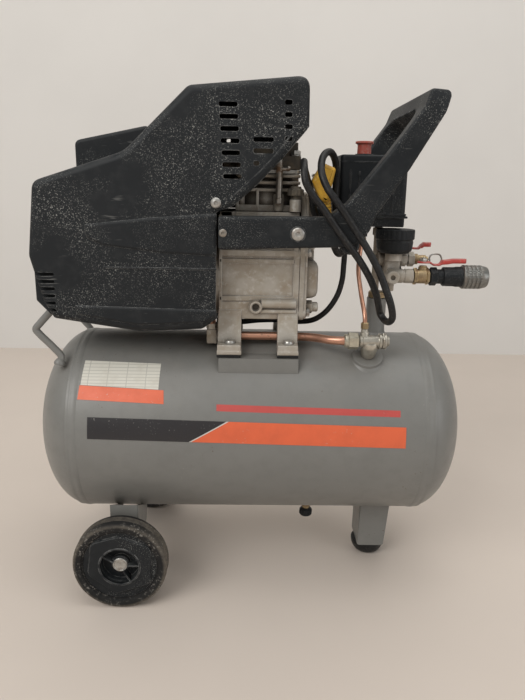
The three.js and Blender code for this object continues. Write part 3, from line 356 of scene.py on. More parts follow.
# ------------------------------------------------------------------ finishes, made of shader nodes
class Finish:
    """A Principled material whose colour, roughness and bump are built up layer by layer."""

    def __init__(self, name, colour, roughness, metallic=0.0, coat=0.0, specular=0.5):
        self.material = bpy.data.materials.new(name)
        self.material.use_nodes = True
        self.tree = self.material.node_tree
        self.shader = self.tree.nodes["Principled BSDF"]
        self.shader.inputs["Metallic"].default_value = metallic
        self.shader.inputs["Coat Weight"].default_value = coat
        self.shader.inputs["Coat Roughness"].default_value = 0.25
        self.shader.inputs["Specular IOR Level"].default_value = specular
        self.coords = self.node("TexCoord").outputs["Object"]
        self.material.diffuse_color = (*colour, 1)
        self.colour, self.roughness, self.metallic = (*colour, 1), roughness, metallic
        self.height = None

    def node(self, kind, inputs=None, **settings):
        node = self.tree.nodes.new("ShaderNode" + kind)
        for key, value in settings.items():
            setattr(node, key, value)
        for key, value in (inputs or {}).items():
            self.feed(node.inputs[key], value)
        return node

    def feed(self, socket, value):
        if isinstance(value, bpy.types.NodeSocket):
            self.tree.links.new(value, socket)
        else:
            socket.default_value = value

    def stretched(self, x=1.0, y=1.0, z=1.0):
        return self.node("Mapping", {"Vector": self.coords, "Scale": (x, y, z)}).outputs["Vector"]

    def math(self, operation, a, b=0.0, clamp=False):
        node = self.node("Math", operation=operation, use_clamp=clamp)
        self.feed(node.inputs[0], a)
        self.feed(node.inputs[1], b)
        return node.outputs["Value"]

    def noise(self, scale, detail=4.0, roughness=0.6, distortion=0.0, vector=None):
        return self.node("TexNoise", {"Vector": vector or self.coords, "Scale": scale, "Detail": detail,
                                      "Roughness": roughness, "Distortion": distortion}).outputs["Fac"]

    def ramp(self, value, low, high):
        return self.node("MapRange", {"Value": value, "From Min": low, "From Max": high},
                         clamp=True).outputs["Result"]

    def spots(self, scale, low, high, detail=3.0, roughness=0.6, vector=None):
        return self.ramp(self.noise(scale, detail, roughness, 0.0, vector), low, high)

    def facing_up(self, low=0.3, high=0.95):
        normal = self.node("NewGeometry").outputs["Normal"]
        return self.ramp(self.node("SeparateXYZ", {"Vector": normal}).outputs["Z"], low, high)

    def edges(self, radius=1.6):
        """1 along edges: where the normal, averaged over millimetres, leaves the surface's own."""
        averaged = self.node("Bevel", {"Radius": radius * MM}, samples=4).outputs["Normal"]
        own = self.node("NewGeometry").outputs["Normal"]
        dot = self.node("VectorMath", operation="DOT_PRODUCT")
        self.feed(dot.inputs[0], averaged)
        self.feed(dot.inputs[1], own)
        return self.ramp(self.math("SUBTRACT", 1.0, dot.outputs["Value"]), 0.01, 0.10)

    # Ambient occlusion mask: 1 in hollows that little light reaches. Colour laid on it is painted shade.
    def shade_in_hollows(self, distance=0.008, low=0.35, high=0.95):
        occlusion = self.node("AmbientOcclusion", {"Distance": distance}, samples=4).outputs["AO"]
        return self.math("SUBTRACT", 1.0, self.ramp(occlusion, low, high))

    def times(self, *values):
        product = values[0]
        for value in values[1:]:
            product = self.math("MULTIPLY", product, value)
        return product

    def most(self, *values):
        result = values[0]
        for value in values[1:]:
            result = self.math("MAXIMUM", result, value)
        return result

    def layer(self, mask, colour=None, roughness=None, metallic=None):
        if colour is not None:
            node = self.node("Mix", data_type="RGBA")
            self.feed(node.inputs["Factor"], mask)
            self.feed(node.inputs[6], self.colour)
            self.feed(node.inputs[7], (*colour, 1))
            self.colour = node.outputs[2]
        for attribute, value in (("roughness", roughness), ("metallic", metallic)):
            if value is not None:
                node = self.node("Mix", data_type="FLOAT")
                self.feed(node.inputs["Factor"], mask)
                self.feed(node.inputs[2], getattr(self, attribute))
                self.feed(node.inputs[3], value)
                setattr(self, attribute, node.outputs[0])
        return self

    def bump(self, value, amount):
        """Adds a height in millimetres."""
        scaled = self.math("MULTIPLY", value, amount)
        self.height = scaled if self.height is None else self.math("ADD", self.height, scaled)
        return self

    def done(self):
        self.feed(self.shader.inputs["Base Color"], self.colour)
        self.feed(self.shader.inputs["Roughness"], self.roughness)
        if isinstance(self.metallic, bpy.types.NodeSocket):
            self.feed(self.shader.inputs["Metallic"], self.metallic)
        if self.height is not None:
            bump = self.node("Bump", {"Height": self.height, "Distance": MM, "Strength": 1.0})
            self.feed(self.shader.inputs["Normal"], bump.outputs["Normal"])
        return self.material


def tank_paint():
    f = Finish("tank_grey_paint", (0.178, 0.178, 0.168), 0.38, coat=0.12)
    f.layer(f.spots(5, 0.35, 0.75), (0.205, 0.203, 0.19))
    f.layer(f.times(f.spots(60, 0.45, 0.7), 0.35), (0.15, 0.148, 0.138), 0.5)
    f.layer(f.times(f.facing_up(0.1, 0.9), f.spots(25, 0.3, 0.75), 0.5), (0.21, 0.198, 0.175), 0.7)
    f.layer(f.times(f.spots(700, 0.66, 0.72), f.spots(14, 0.5, 0.7)), (0.42, 0.41, 0.38), 0.6)
    f.layer(f.times(f.spots(230, 0.69, 0.71), f.spots(9, 0.52, 0.62)), (0.12, 0.09, 0.06), 0.8)
    # painted shade: darker and rougher in the hollows found by ambient occlusion
    f.layer(f.times(f.shade_in_hollows(0.012), 0.55), (0.10, 0.09, 0.075), 0.75)
    f.bump(f.noise(420, 2, 0.5), 0.03).bump(f.noise(30, 3), 0.12)
    return f.done()


def moulded_black(name="black_moulding", dust=1.0, grain=0.05):
    f = Finish(name, (0.0075, 0.0095, 0.0115), 0.5, specular=0.28)
    f.layer(f.spots(8, 0.35, 0.7), (0.0115, 0.0135, 0.0155), 0.6)
    f.layer(f.times(f.spots(70, 0.5, 0.8), 0.4 * dust), (0.035, 0.037, 0.038), 0.75)
    f.layer(f.times(f.facing_up(), f.spots(45, 0.35, 0.7), 0.38 * dust), (0.12, 0.12, 0.115), 0.85)
    speckle = f.times(f.spots(800, 0.60, 0.67, 2), f.spots(13, 0.42, 0.6))
    f.layer(f.times(speckle, 0.8 * dust), (0.36, 0.36, 0.34), 0.9)
    streak = f.spots(260, 0.67, 0.74, 2, vector=f.stretched(0.12, 1, 1))
    f.layer(f.times(streak, f.spots(11, 0.5, 0.6), 0.35 * dust), (0.22, 0.22, 0.21), 0.85)
    f.layer(f.times(f.edges(), f.spots(120, 0.4, 0.6), 0.6 * dust), (0.30, 0.30, 0.29), 0.8)
    f.bump(f.noise(1500, 2, 0.5), grain).bump(f.noise(22, 3), 0.25)
    return f.done()


def cast_alloy():
    f = Finish("cast_alloy", (0.47, 0.44, 0.39), 0.5, metallic=0.55)
    f.layer(f.spots(40, 0.4, 0.65), (0.40, 0.355, 0.29), 0.6, 0.4)
    f.layer(f.times(f.spots(18, 0.5, 0.72), 0.7), (0.25, 0.18, 0.11), 0.75, 0.2)
    f.layer(f.times(f.spots(150, 0.55, 0.7), 0.6), (0.58, 0.56, 0.52), 0.45)
    # painted shade: dark brown in the casting's hollows, found by ambient occlusion
    f.layer(f.times(f.shade_in_hollows(0.01), 0.85), (0.075, 0.055, 0.038), 0.85, 0.1)
    f.layer(f.times(f.edges(1.2), 0.5), (0.62, 0.6, 0.56), 0.4)
    f.bump(f.noise(900, 3, 0.6), 0.12).bump(f.noise(120, 3), 0.2)
    return f.done()


def dark_alloy():
    f = Finish("dark_alloy", (0.085, 0.075, 0.062), 0.6, metallic=0.4)
    f.layer(f.spots(60, 0.45, 0.7), (0.17, 0.14, 0.10), 0.75)
    f.layer(f.times(f.edges(), 0.5), (0.28, 0.25, 0.2), 0.5)
    f.bump(f.noise(700, 3), 0.12)
    return f.done()


def plated_steel(name="plated_steel", tint=(0.52, 0.51, 0.48), rust=0.5):
    f = Finish(name, tint, 0.33, metallic=0.9)
    f.layer(f.spots(150, 0.4, 0.7), tuple(c * 0.75 for c in tint), 0.45)
    f.layer(f.times(f.spots(90, 0.52, 0.66), rust), (0.16, 0.085, 0.04), 0.85, 0.1)
    # painted shade: dark in the hollows found by ambient occlusion
    f.layer(f.times(f.shade_in_hollows(0.004), 0.8), (0.06, 0.045, 0.03), 0.8, 0.2)
    f.bump(f.noise(1300, 2), 0.03)
    return f.done()


def brass():
    f = Finish("tarnished_brass", (0.42, 0.32, 0.19), 0.42, metallic=0.85)
    f.layer(f.spots(160, 0.4, 0.65), (0.30, 0.22, 0.13), 0.5)
    f.layer(f.times(f.spots(70, 0.55, 0.7), 0.5), (0.14, 0.1, 0.06), 0.7, 0.3)
    f.layer(f.times(f.edges(), 0.6), (0.66, 0.53, 0.28), 0.3)
    f.bump(f.noise(1100, 2), 0.03)
    return f.done()


def copper():
    f = Finish("drawn_copper", (0.66, 0.36, 0.25), 0.34, metallic=0.9)
    f.layer(f.spots(60, 0.4, 0.7, vector=f.stretched(0.25, 1, 1)), (0.5, 0.27, 0.19), 0.42)
    f.layer(f.times(f.spots(200, 0.6, 0.7), 0.6), (0.25, 0.14, 0.1), 0.6, 0.5)
    f.bump(f.noise(900, 2), 0.02)
    return f.done()


def red_coat():
    f = Finish("red_coat", (0.47, 0.045, 0.035), 0.4, coat=0.2)
    f.layer(f.spots(70, 0.45, 0.7), (0.36, 0.04, 0.035), 0.55)
    f.layer(f.times(f.edges(1.2), f.spots(300, 0.45, 0.6)), (0.5, 0.36, 0.32), 0.5)
    f.layer(f.times(f.spots(500, 0.62, 0.7), 0.5), (0.5, 0.35, 0.3), 0.8)
    f.bump(f.noise(500, 2), 0.03)
    return f.done()


def faded_red():
    f = Finish("faded_red_plastic", (0.42, 0.085, 0.06), 0.45)
    f.layer(f.facing_up(0.3, 0.9), (0.5, 0.15, 0.11), 0.6)
    f.layer(f.times(f.spots(300, 0.5, 0.65), 0.5), (0.4, 0.25, 0.2), 0.8)
    f.bump(f.noise(900, 2), 0.03)
    return f.done()


def yellow_plastic():
    f = Finish("yellow_plastic", (0.66, 0.38, 0.035), 0.4)
    f.layer(f.spots(80, 0.4, 0.7), (0.52, 0.27, 0.03), 0.5)
    # painted shade: dark in the hollows found by ambient occlusion
    f.layer(f.times(f.shade_in_hollows(0.004), 0.7), (0.22, 0.11, 0.02), 0.7)
    f.layer(f.times(f.spots(500, 0.62, 0.7), 0.5), (0.2, 0.14, 0.08), 0.8)
    f.bump(f.noise(900, 2), 0.03)
    return f.done()


def black_rubber(name="black_rubber", dust=0.4):
    f = Finish(name, (0.007, 0.007, 0.0075), 0.42, specular=0.35)
    f.layer(f.spots(90, 0.45, 0.7), (0.016, 0.016, 0.016), 0.58)
    f.layer(f.times(f.spots(500, 0.58, 0.7), dust), (0.12, 0.115, 0.1), 0.85)
    f.bump(f.noise(1400, 2), 0.03)
    return f.done()


def plain_inner(name, colour, roughness=0.6, metallic=0.0):
    f = Finish(name, colour, roughness, metallic)
    f.layer(f.spots(90, 0.4, 0.7), tuple(c * 0.7 for c in colour), min(1, roughness + 0.15))
    f.bump(f.noise(800, 2), 0.05)
    return f.done()


TANK_PAINT, BLACK, ALLOY, DARK_ALLOY = tank_paint(), moulded_black(), cast_alloy(), dark_alloy()
STEEL, BRASS, COPPER, RED, FADED_RED = plated_steel(), brass(), copper(), red_coat(), faded_red()
YELLOW, CABLE = yellow_plastic(), black_rubber()
CLEAN_BLACK = moulded_black("black_plastic_clean", 0.35, 0.02)
RUSTY = plated_steel("rusty_steel", (0.36, 0.33, 0.29), 0.9)

# ------------------------------------------------------------------ camera
LONG_SIDE = 700                      # pixels of the picture's long side
FOCAL = 612                          # focal length in the same pixels
YAW, PITCH, ROLL = math.radians(1.32), math.radians(14.9), math.radians(1.12)
eye = place((-5, -822, 529))
forward = Vector((math.sin(YAW) * math.cos(PITCH), math.cos(YAW) * math.cos(PITCH), -math.sin(PITCH)))
level = Vector((math.cos(YAW), -math.sin(YAW), 0))
upward = level.cross(forward)
right = level * math.cos(ROLL) + upward * math.sin(ROLL)
top = upward * math.cos(ROLL) - level * math.sin(ROLL)
camera_data = bpy.data.cameras.new("camera")
camera_data.sensor_fit, camera_data.sensor_width = "AUTO", 36
camera_data.lens = FOCAL / LONG_SIDE * 36
camera = bpy.data.objects.new("camera", camera_data)
bpy.context.scene.collection.objects.link(camera)
camera.matrix_world = Matrix.Translation(eye) @ Matrix((right, top, -forward)).transposed().to_4x4()
bpy.context.scene.camera = camera

# ------------------------------------------------------------------ mains lead and plug
LEAD_DIAMETER = 8.5
LEAD_ROUTE = [
    (98.2, -10, 489), (92, -10, 489), (87, -15, 489), (84.5, -31, 489), (79, -49, 491), (72, -61, 502),
    (68, -66, 520),
    (62, -68, 538), (57, -76, 552), (55, -92, 558), (54.5, -106, 551), (56, -113, 536), (64, -114, 522),
    (77, -112.5, 507), (92, -111.5, 487), (107, -111, 468), (122, -110, 449), (136, -107, 428),
    (146, -101, 408),
    (152, -92, 392), (156, -86, 381), (160, -93, 375), (163, -104, 375), (164.5, -114, 382),
    (161, -119, 397),
    (154, -119, 415), (145, -117, 436), (133, -115, 457), (119, -113, 478), (105, -112, 498),
    (92, -111, 515),
    (81, -107, 530), (75, -100, 546), (76, -88, 560), (82, -74, 569), (90, -60, 570), (97, -48, 560),
    (99.3, -43, 542), (99.3, -43, 520), (101, -43.5, 500), (106, -42, 480), (111, -42, 464),
    (110, -52, 453),
    (103, -64, 452), (96, -71, 464), (91, -69, 481), (88.3, -64.2, 496.5),
]


def mains_lead():
    path, length = spline(LEAD_ROUTE, 1.5)
    lead = piece("mains_lead_sheath", swept(LEAD_ROUTE, LEAD_DIAMETER / 2, 20, 1.5), CABLE,
                 stands_for="mains_lead")
    outline = [(67, 537, 4), (79, 558, 4), (95, 552, 4), (90, 528, 3), (87, 512, 2), (78, 515, 2)]
    body = pillow(rounded(outline, 5), "y", soft_levels(-76, -49, 4, 4))
    sleeve = lathe([(8, 0), (8, 2), (7, 3), (7.4, 4.5), (7.4, 6), (6.5, 7), (6.9, 8.5), (6.9, 10), (6, 11),
                    (6.2, 12.5),
                    (6.2, 14), (5.4, 15), (5.4, 17.8), (4.6, 18.4)], (83.5, -62, 516), (4.6, -1.8, -18), 24)
    pins = [rod((81 + o * 0.9, -51, 540 - o * 0.4), (81 + o * 0.9, -31, 540 - o * 0.4), 2.4, 20, 0.8)
            for o in (-9.5, 9.5)]
    plug = piece("mains_plug_body", together(body, sleeve), YELLOW,
                 stands_for="mains_plug")
    pin_pair = piece("mains_plug_pins", together(*pins), STEEL)


mains_lead()

# ------------------------------------------------------------------ tank
BOSS_ANGLE = math.asin(62 / 123)


def boss(distance):
    """A point on the axis of the check valve's boss, at a distance from the tank's surface."""
    reach = TANK_R + distance
    return Vector((148, -reach * math.sin(BOSS_ANGLE), TANK_Z + reach * math.cos(BOSS_ANGLE)))


def weld_bead(x, radius, width, height, seed):
    """A ring of weld round the tank: a low bead with the ripples of the torch."""
    around, across = 300, 8
    rings = []
    for i in range(around + 1):
        a = 2 * math.pi * (i % around) / around
        ripple = 1 + 0.12 * math.sin(a
                                     * 130) + 0.25 * noise.noise(Vector((math.cos(a) * 9, math.sin(a) * 9,
                                             seed)))
        ring = []
        for s in range(across):
            t = 2 * math.pi * s / across
            out = radius - 0.4 + height * ripple * max(math.sin(t), -0.5)
            ring.append((x + width / 2 * math.cos(t), out * math.cos(a), TANK_Z + out * math.sin(a)))
        rings.append(ring)
    return loft(rings, capped=False)


def tank():
    end = SEAM_X - 0.2
    wall = [(TANK_R - 3, -end), (TANK_R, -end), (TANK_R, -end + 30), (TANK_R, 0), (TANK_R, end - 30),
            (TANK_R, end), (TANK_R - 3, end),
            (TANK_R - 3, -end)]
    barrel = lathe(wall, (0, 0, TANK_Z), (1, 0, 0), 180)
    pad = lathe([(27, -6), (27, -3.5), (22.5, -1.2), (20.3, 1), (20, 3), (19.4, 4.4), (18, 5), (8.2, 5),
                 (8.2, -6), (27, -6)],
                boss(0), boss(1) - boss(0), 64)
    drain = lathe([(13, 2), (11, -1), (10, -4), (10, -8), (9.2, -9), (5.2, -9), (5.2, 2), (13, 2)],
                  (83, 0, TANK_Z - TANK_R), (0, 0, 1), 40)
    riser = lathe([(19, -4), (16.5, 0), (14.6, 2.5), (13.3, 5), (13.3, 50.5), (12.8, 51), (9.8, 51),
                   (9.8, -4), (19, -4)],
                  (169, 4, 335), (0, 0, 1), 48)
    piece("tank_barrel", together(barrel, pad, drain, riser), TANK_PAINT,
          stands_for="tank_shell", angle=30)
    for name, side in (("left", -1), ("right", 1)):
        dome = [(TANK_R - 5, -8), (TANK_R - 3.4, -8), (TANK_R - 3.4, 0.1), (TANK_R - 0.5, 0.2),
                (TANK_R + 0.1, 2), (TANK_R, 6)]
        for i in range(1, 40):
            a = math.pi / 2 * i / 40
            if HEAD_DEPTH * math.sin(a) > 7:
                dome.append((TANK_R * math.cos(a), HEAD_DEPTH * math.sin(a)))
        dome += [(0, HEAD_DEPTH)]
        inner = [(0, HEAD_DEPTH - 3)] + [((TANK_R - 5) * math.cos(math.pi / 2 * i / 12),
                                          (HEAD_DEPTH - 3) * math.sin(math.pi / 2 * i / 12))
                                         for i in range(11, -1, -1)]
        head = lathe(dome + inner + [dome[0]], (side * SEAM_X, 0, TANK_Z), (side, 0, 0), 180)
        bead = weld_bead(side * (SEAM_X + 0.5), TANK_R, 9, 1.0, side)
        groove = weld_bead(side * (SEAM_X + 7.5), TANK_R - 0.4, 6, 0.75, side + 5)
        piece("tank_end_" + name, together(head, bead, groove), TANK_PAINT,
              stands_for="tank_head_" + name, angle=40)


def tank_patch(name, corners, finish, thickness=0.25, lift=0.02, columns=60, rows=12):
    """A sticker on the front of the tank; corners are (x, z), clockwise from the top left."""
    (ax, az), (bx, bz), (cx, cz), (dx, dz) = corners
    layers = []
    for radius in (TANK_R + lift, TANK_R + lift + thickness):
        grid = []
        for r in range(rows + 1):
            t = r / rows
            for c in range(columns + 1):
                s = c / columns
                x = (ax * (1 - s) + bx * s) * (1 - t) + (dx * (1 - s) + cx * s) * t
                z = (az * (1 - s) + bz * s) * (1 - t) + (dz * (1 - s) + cz * s) * t
                a = math.asin((z - TANK_Z) / TANK_R)
                grid.append((x, -radius * math.cos(a), TANK_Z + radius * math.sin(a)))
        layers.append(grid)
    width, size = columns + 1, len(layers[0])
    faces = []
    for r in range(rows):
        for c in range(columns):
            q = (r * width + c, r * width + c + 1, (r + 1) * width + c + 1, (r + 1) * width + c)
            faces += [q, tuple(i + size for i in reversed(q))]
    rim = ([c for c in range(width)] + [r * width + columns for r in range(1, rows + 1)]
           + [rows * width + c for c in range(columns - 1, -1, -1)] + [r * width
                   for r in range(rows - 1, 0, -1)])
    for i, a in enumerate(rim):
        b = rim[(i + 1) % len(rim)]
        faces.append((a, b, b + size, a + size))
    piece(name, (layers[0] + layers[1], faces), finish, angle=50)


def sticker(name, colour, roughness=0.38, wear=0.5):
    f = Finish(name, colour, roughness, coat=0.1)
    f.layer(f.spots(40, 0.4, 0.7), tuple(c * 0.9 for c in colour), roughness + 0.1)
    f.layer(f.times(f.spots(420, 0.66, 0.7), f.spots(20, 0.45, 0.6), wear), (0.5, 0.48, 0.44), 0.7)
    f.bump(f.noise(300, 2), 0.02)
    return f.done()


def ruled_sticker():
    """White with faint ruled lines, as a blank table."""
    f = Finish("ruled_white_sticker", (0.62, 0.60, 0.53), 0.45)
    axes = f.node("SeparateXYZ", {"Vector": f.coords}).outputs
    lines = f.ramp(f.math("FRACT", f.math("MULTIPLY", axes["Z"], 310.0)), 0.80, 0.84)
    columns = f.ramp(f.math("FRACT", f.math("MULTIPLY", axes["X"], 42.0)), 0.955, 0.965)
    f.layer(f.times(f.most(lines, columns), 0.55), (0.28, 0.27, 0.24))
    f.layer(f.times(f.spots(60, 0.5, 0.7), 0.5), (0.5, 0.47, 0.4), 0.6)
    return f.done()


def stickers():
    orange = sticker("orange_sticker", (0.72, 0.13, 0.05))
    pale = sticker("pale_sticker", (0.58, 0.57, 0.53))
    black = sticker("black_sticker", (0.022, 0.02, 0.022), 0.32)
    red = sticker("red_print", (0.5, 0.07, 0.06), 0.5, 0.9)

    def top_edge(x):
        return 253 - (x + 201.5) * 0.0204

    def low_edge(x):
        return 227 - (x + 201.5) * 0.0204
    tank_patch("rating_table", [(-212, 312.3), (-116, 310), (-116.5, 284), (-213, 288)], ruled_sticker(),
               columns=30)
    tank_patch("rating_strip", [(-214, 287.6), (-110, 283.4), (-109, 268.6), (-215, 272.6)], orange,
               columns=30)
    tank_patch("band_join",
               [(-31.5, top_edge(-31.5)), (-28.5, top_edge(-28.5)), (-74.5, low_edge(-74.5)),
                (-77.5, low_edge(-77.5))],
               pale, 0.15, 0.02, 8)
    tank_patch("band_black",
               [(-201.5, 253), (-31.5, top_edge(-31.5)), (-77.5, low_edge(-77.5)), (-201.5, 227)], black,
               0.15, 0.2)
    tank_patch("band_orange",
               [(-28.5, top_edge(-28.5)), (191, top_edge(191)), (191, low_edge(191)),
                (-74.5, low_edge(-74.5))],
               orange, 0.15, 0.2)
    tank_patch("red_stripe", [(-44, 269), (184, 264.3), (184, 256.8), (-44, 261.5)], red, 0.1, 0.02, 60, 4)


def tread_rubber():
    f = Finish("dusty_tread", (0.01, 0.01, 0.01), 0.7, specular=0.3)
    f.layer(f.spots(60, 0.4, 0.7), (0.02, 0.019, 0.018), 0.8)
    centre = place((AXLE_X, 0, WHEEL_RADIUS))
    axes = f.node("SeparateXYZ", {"Vector": f.coords}).outputs
    dx, dz = f.math("SUBTRACT", axes["X"], centre.x), f.math("SUBTRACT", axes["Z"], centre.z)
    reach = f.math("SQRT", f.math("ADD", f.times(dx, dx), f.times(dz, dz)))
    worn = f.ramp(reach, 0.0545, 0.0585)
    under = f.math("SUBTRACT", 1, f.facing_up())
    f.layer(f.times(worn, under, f.math("ADD", 0.5, f.times(f.spots(130, 0.35, 0.6), 0.45))),
            (0.15, 0.13, 0.105), 0.9)
    f.layer(f.times(f.spots(330, 0.56, 0.64), f.spots(30, 0.4, 0.6), 0.6), (0.3, 0.28, 0.25), 0.9)
    f.bump(f.noise(500, 3), 0.25)
    return f.done()


def wheels():
    tread = tread_rubber()
    x, axle, outer, width, radius = AXLE_X, WHEEL_RADIUS, WHEEL_OUTER, WHEEL_WIDTH, WHEEL_RADIUS
    facet = [(49, 33), (43, 88), (48, 137), (43, 197), (40, 262),
             (46, 328)]     # radius and angle of each corner
    for name, side in (("front", -1), ("rear", 1)):
        base, out = (x, side * (outer - width), axle), (0, side, 0)
        rim = [(47, 2), (radius - 8, 0), (radius - 5, 0.6), (radius - 2, 3.2), (radius - 0.6, 6),
               (radius, 9.5)]
        for i in range(5):
            y = 11.5 + i * 2
            rim += [(radius, y - 0.9), (radius - 0.7, y - 0.6), (radius - 0.7, y + 0.2), (radius, y + 0.5)]
        rim += [(radius, width - 6.5), (radius - 0.4, width - 4), (radius - 1.3, width - 1.8),
                (radius - 3.2, width - 0.4),
                (radius - 6.5, width - 0.1), (49.5, width - 1.2), (48.5, width - 3.5), (47, width - 3.6),
                (47, 2)]
        piece("tyre_ring_" + name, lathe(rim, base, out, 120), tread, "wheel_" + name,
              "tyre_" + name, angle=50)
        disc = [(6.2, 1), (15, 1), (15, 6), (46.8, 5), (46.8, width - 4.6), (45, width - 4.2),
                (25.5, width - 4.2), (24.6, width - 5),
                (23.6, width - 14), (6.2, width - 14), (6.2, 1)]
        body = lathe(disc, base, out, 96)
        face = outer - 4.2
        corners = [(x + r * math.cos(math.radians(a)) * (1 if side < 0 else -1),
                    axle + r * math.sin(math.radians(a)), 11) for r, a in facet]
        outline = rounded(corners, 8)
        panel = pillow(outline, "y",
                       [(side * (face - 3), 0), (side * (face + 1.4), 0), (side * (face + 2.6), 0.5),
                        (side * (face + 3.1), 1.6)])
        hollow = rod((x, side * (face - 9.8), axle), (x, side * (face + 20), axle), 24.2, 72)
        lip = lathe([(24.2, -1), (26.4, -1), (26.4, 3.4), (25.3, 4), (24.2, 3.4), (24.2, -1)],
                    (x, side * face, axle), out, 72)
        ribs = []
        for a in (math.radians(150), 0, math.radians(-60)):
            plank = box((9, -0.9, -9.6), (24.6, 0.9, 1.5))
            turn = Matrix.Translation((x, side * face, axle)) @ Matrix((
                (math.cos(a), -math.sin(a), 0), (0, 0, side), (math.sin(a), math.cos(a), 0))).to_4x4()
            ribs.append(moved(plank, turn))
        boss_ring = lathe([(6.4, -9.8), (11.6, -9.8), (11.6, -4), (10.6, -3.2), (6.4, -3.2), (6.4, -9.8)],
                          (x, side * face, axle), out, 48)
        piece("wheel_disc_" + name, together(body, carved(panel, hollow), lip, boss_ring, *ribs), BLACK,
              "wheel_" + name,
              "wheel_hub_" + name, bevel=0.35, segments=2, angle=35)
        bolt = together(
            rod((x, side * (outer - width - 12), axle), (x, side * (outer - 13), axle), 5.6, 32),
            lathe([(0, -14.8), (11.8, -14.8), (11.8, -13.4), (11.2, -12.9), (0, -12.9)],
                  (x, side * outer, axle), out, 48),
            lathe([(0, -13), (9, -13), (9.6, -12.4), (9.6, -6.2), (9, -5.4), (8.1, -5.2), (7.5, -6.4),
                   (0, -6.6)], (x, side * outer, axle), out, 48),
            hexagon((x, side * (outer - width - 12), axle), (x, side * (outer - width - 6.4), axle), 17))
        piece("wheel_bolt_" + name, bolt, STEEL, "frame", "axle_bolt_" + name, bevel=0.25,
              segments=2)


def bracket_and_foot():
    x = AXLE_X
    for name, side in (("front", -1), ("rear", 1)):
        plate_y = WHEEL_OUTER - WHEEL_WIDTH - 2.4

        def out(shape):
            return shape if side > 0 else mirrored(shape)
        plate = prism([(x - 16, 44, 9), (x + 16, 44, 9), (x + 20, 152), (x - 16, 152)], "y", plate_y - 3,
                      plate_y)
        flanges = [prism([(a, 56, 3), (a + 3, 56), (a + 3, 152), (a, 152)], "y", 42, plate_y - 0.5)
                   for a in (x - 16, x + 17)]
        trims = [prism([(38, 38), (plate_y - 12, 38), (38, 86)], "x", x - 30, x + 30),
                 prism([(60, 104.5), (plate_y + 5, 132), (plate_y + 5, 170), (60, 170)], "x", x - 30,
                       x + 30),
                 rod((-400, 0, TANK_Z), (400, 0, TANK_Z), TANK_R + 0.2, 160)]
        trimmed = carved(out(together(plate, *flanges)), *(out(trim) for trim in trims))
        # welds where the flanges meet the tank
        a0 = -math.acos(59 / TANK_R)
        beads = []
        for wx in (x - 14.5, x + 18.5):
            line = []
            for i in range(9):
                a = a0 + (-math.acos(43 / TANK_R) - a0) * i / 8
                line.append((wx, side * TANK_R * math.cos(a), TANK_Z + TANK_R * math.sin(a)))
            beads.append(swept(line, lambda s: 1.9 + 0.35 * math.sin(s * 60), 10, 1.5))
        piece("axle_bracket_" + name, together(trimmed, *beads), TANK_PAINT,
              stands_for="wheel_bracket_" + name,
              bevel=0.5, segments=2)
    fx = FOOT_X
    sheets = [prism([(fx - 19, 20.3, 4), (fx + 19, 20.3, 4), (fx + 25, 98), (fx - 17, 98)], "y", y, y + 3)
              for y in (-24, 24)]
    side_sheet = prism([(-23, 21), (26, 21), (26, 98), (-23, 98)], "x", fx - 19, fx - 16)
    sole = box((fx - 18, -23, 20.3), (fx + 18, 26, 23.3))
    piece("foot_bracket", together(*sheets, side_sheet, sole), TANK_PAINT,
          stands_for="foot_leg",
          cuts=rod((-400, 0, TANK_Z), (400, 0, TANK_Z), TANK_R + 0.2, 160), bevel=0.5, segments=2)
    puck = lathe([(0, 0), (11, 0), (14.5, 0.7), (18, 2.8), (21, 6.5), (23, 11), (23.9, 15.5), (24, 19),
                  (23.3, 20), (0, 20)],
                 (fx, 1.5, 0), (0, 0, 1), 64)
    stud = together(rod((fx, 1.5, 18), (fx, 1.5, 30), 4.6, 24, 0.6),
                    hexagon((fx, 1.5, 23.6), (fx, 1.5, 29), 13, 0))
    piece("foot_rubber_pad", puck, black_rubber("foot_rubber", 0.8),
          stands_for="rubber_foot", angle=50)
    piece("foot_stud", stud, STEEL, angle=30)
    z = TANK_Z - TANK_R - 9.3
    valve = together(hexagon((DRAIN_X, 0, z - 9), (DRAIN_X, 0, z), 12, 0),
                     lathe([(4, -14), (5.4, -14), (5.4, -9), (4.6, -8), (4, -8), (4, -14)], (DRAIN_X, 0, z),
                           (0, 0, 1), 32))
    piece("drain_body", valve, BRASS, stands_for="drain_valve", bevel=0.2, segments=2)
    knob_z = TANK_Z - TANK_R - 18.6
    wheel_profile = [(0, -14), (6.5, -14), (8.2, -13), (9.4, -10.5), (9.4, -6), (8.4, -3.6), (6, -2),
                     (4, -0.4), (0, -0.2)]
    knob = lathe(wheel_profile, (DRAIN_X, 0, knob_z), (0, 0, 1), 60)
    flutes = []
    for px, py, pz in knob[0]:
        wave = 0.05 * math.sin(10 * math.atan2(py, px - DRAIN_X)) * (abs(pz - knob_z + 8) < 4)
        flutes.append((px + (px - DRAIN_X) * wave, py + py * wave, pz))
    piece("drain_wheel", (flutes, knob[1]), CLEAN_BLACK, "drain_handle", "drain_knob",
          angle=45)


tank()
stickers()
wheels()
bracket_and_foot()

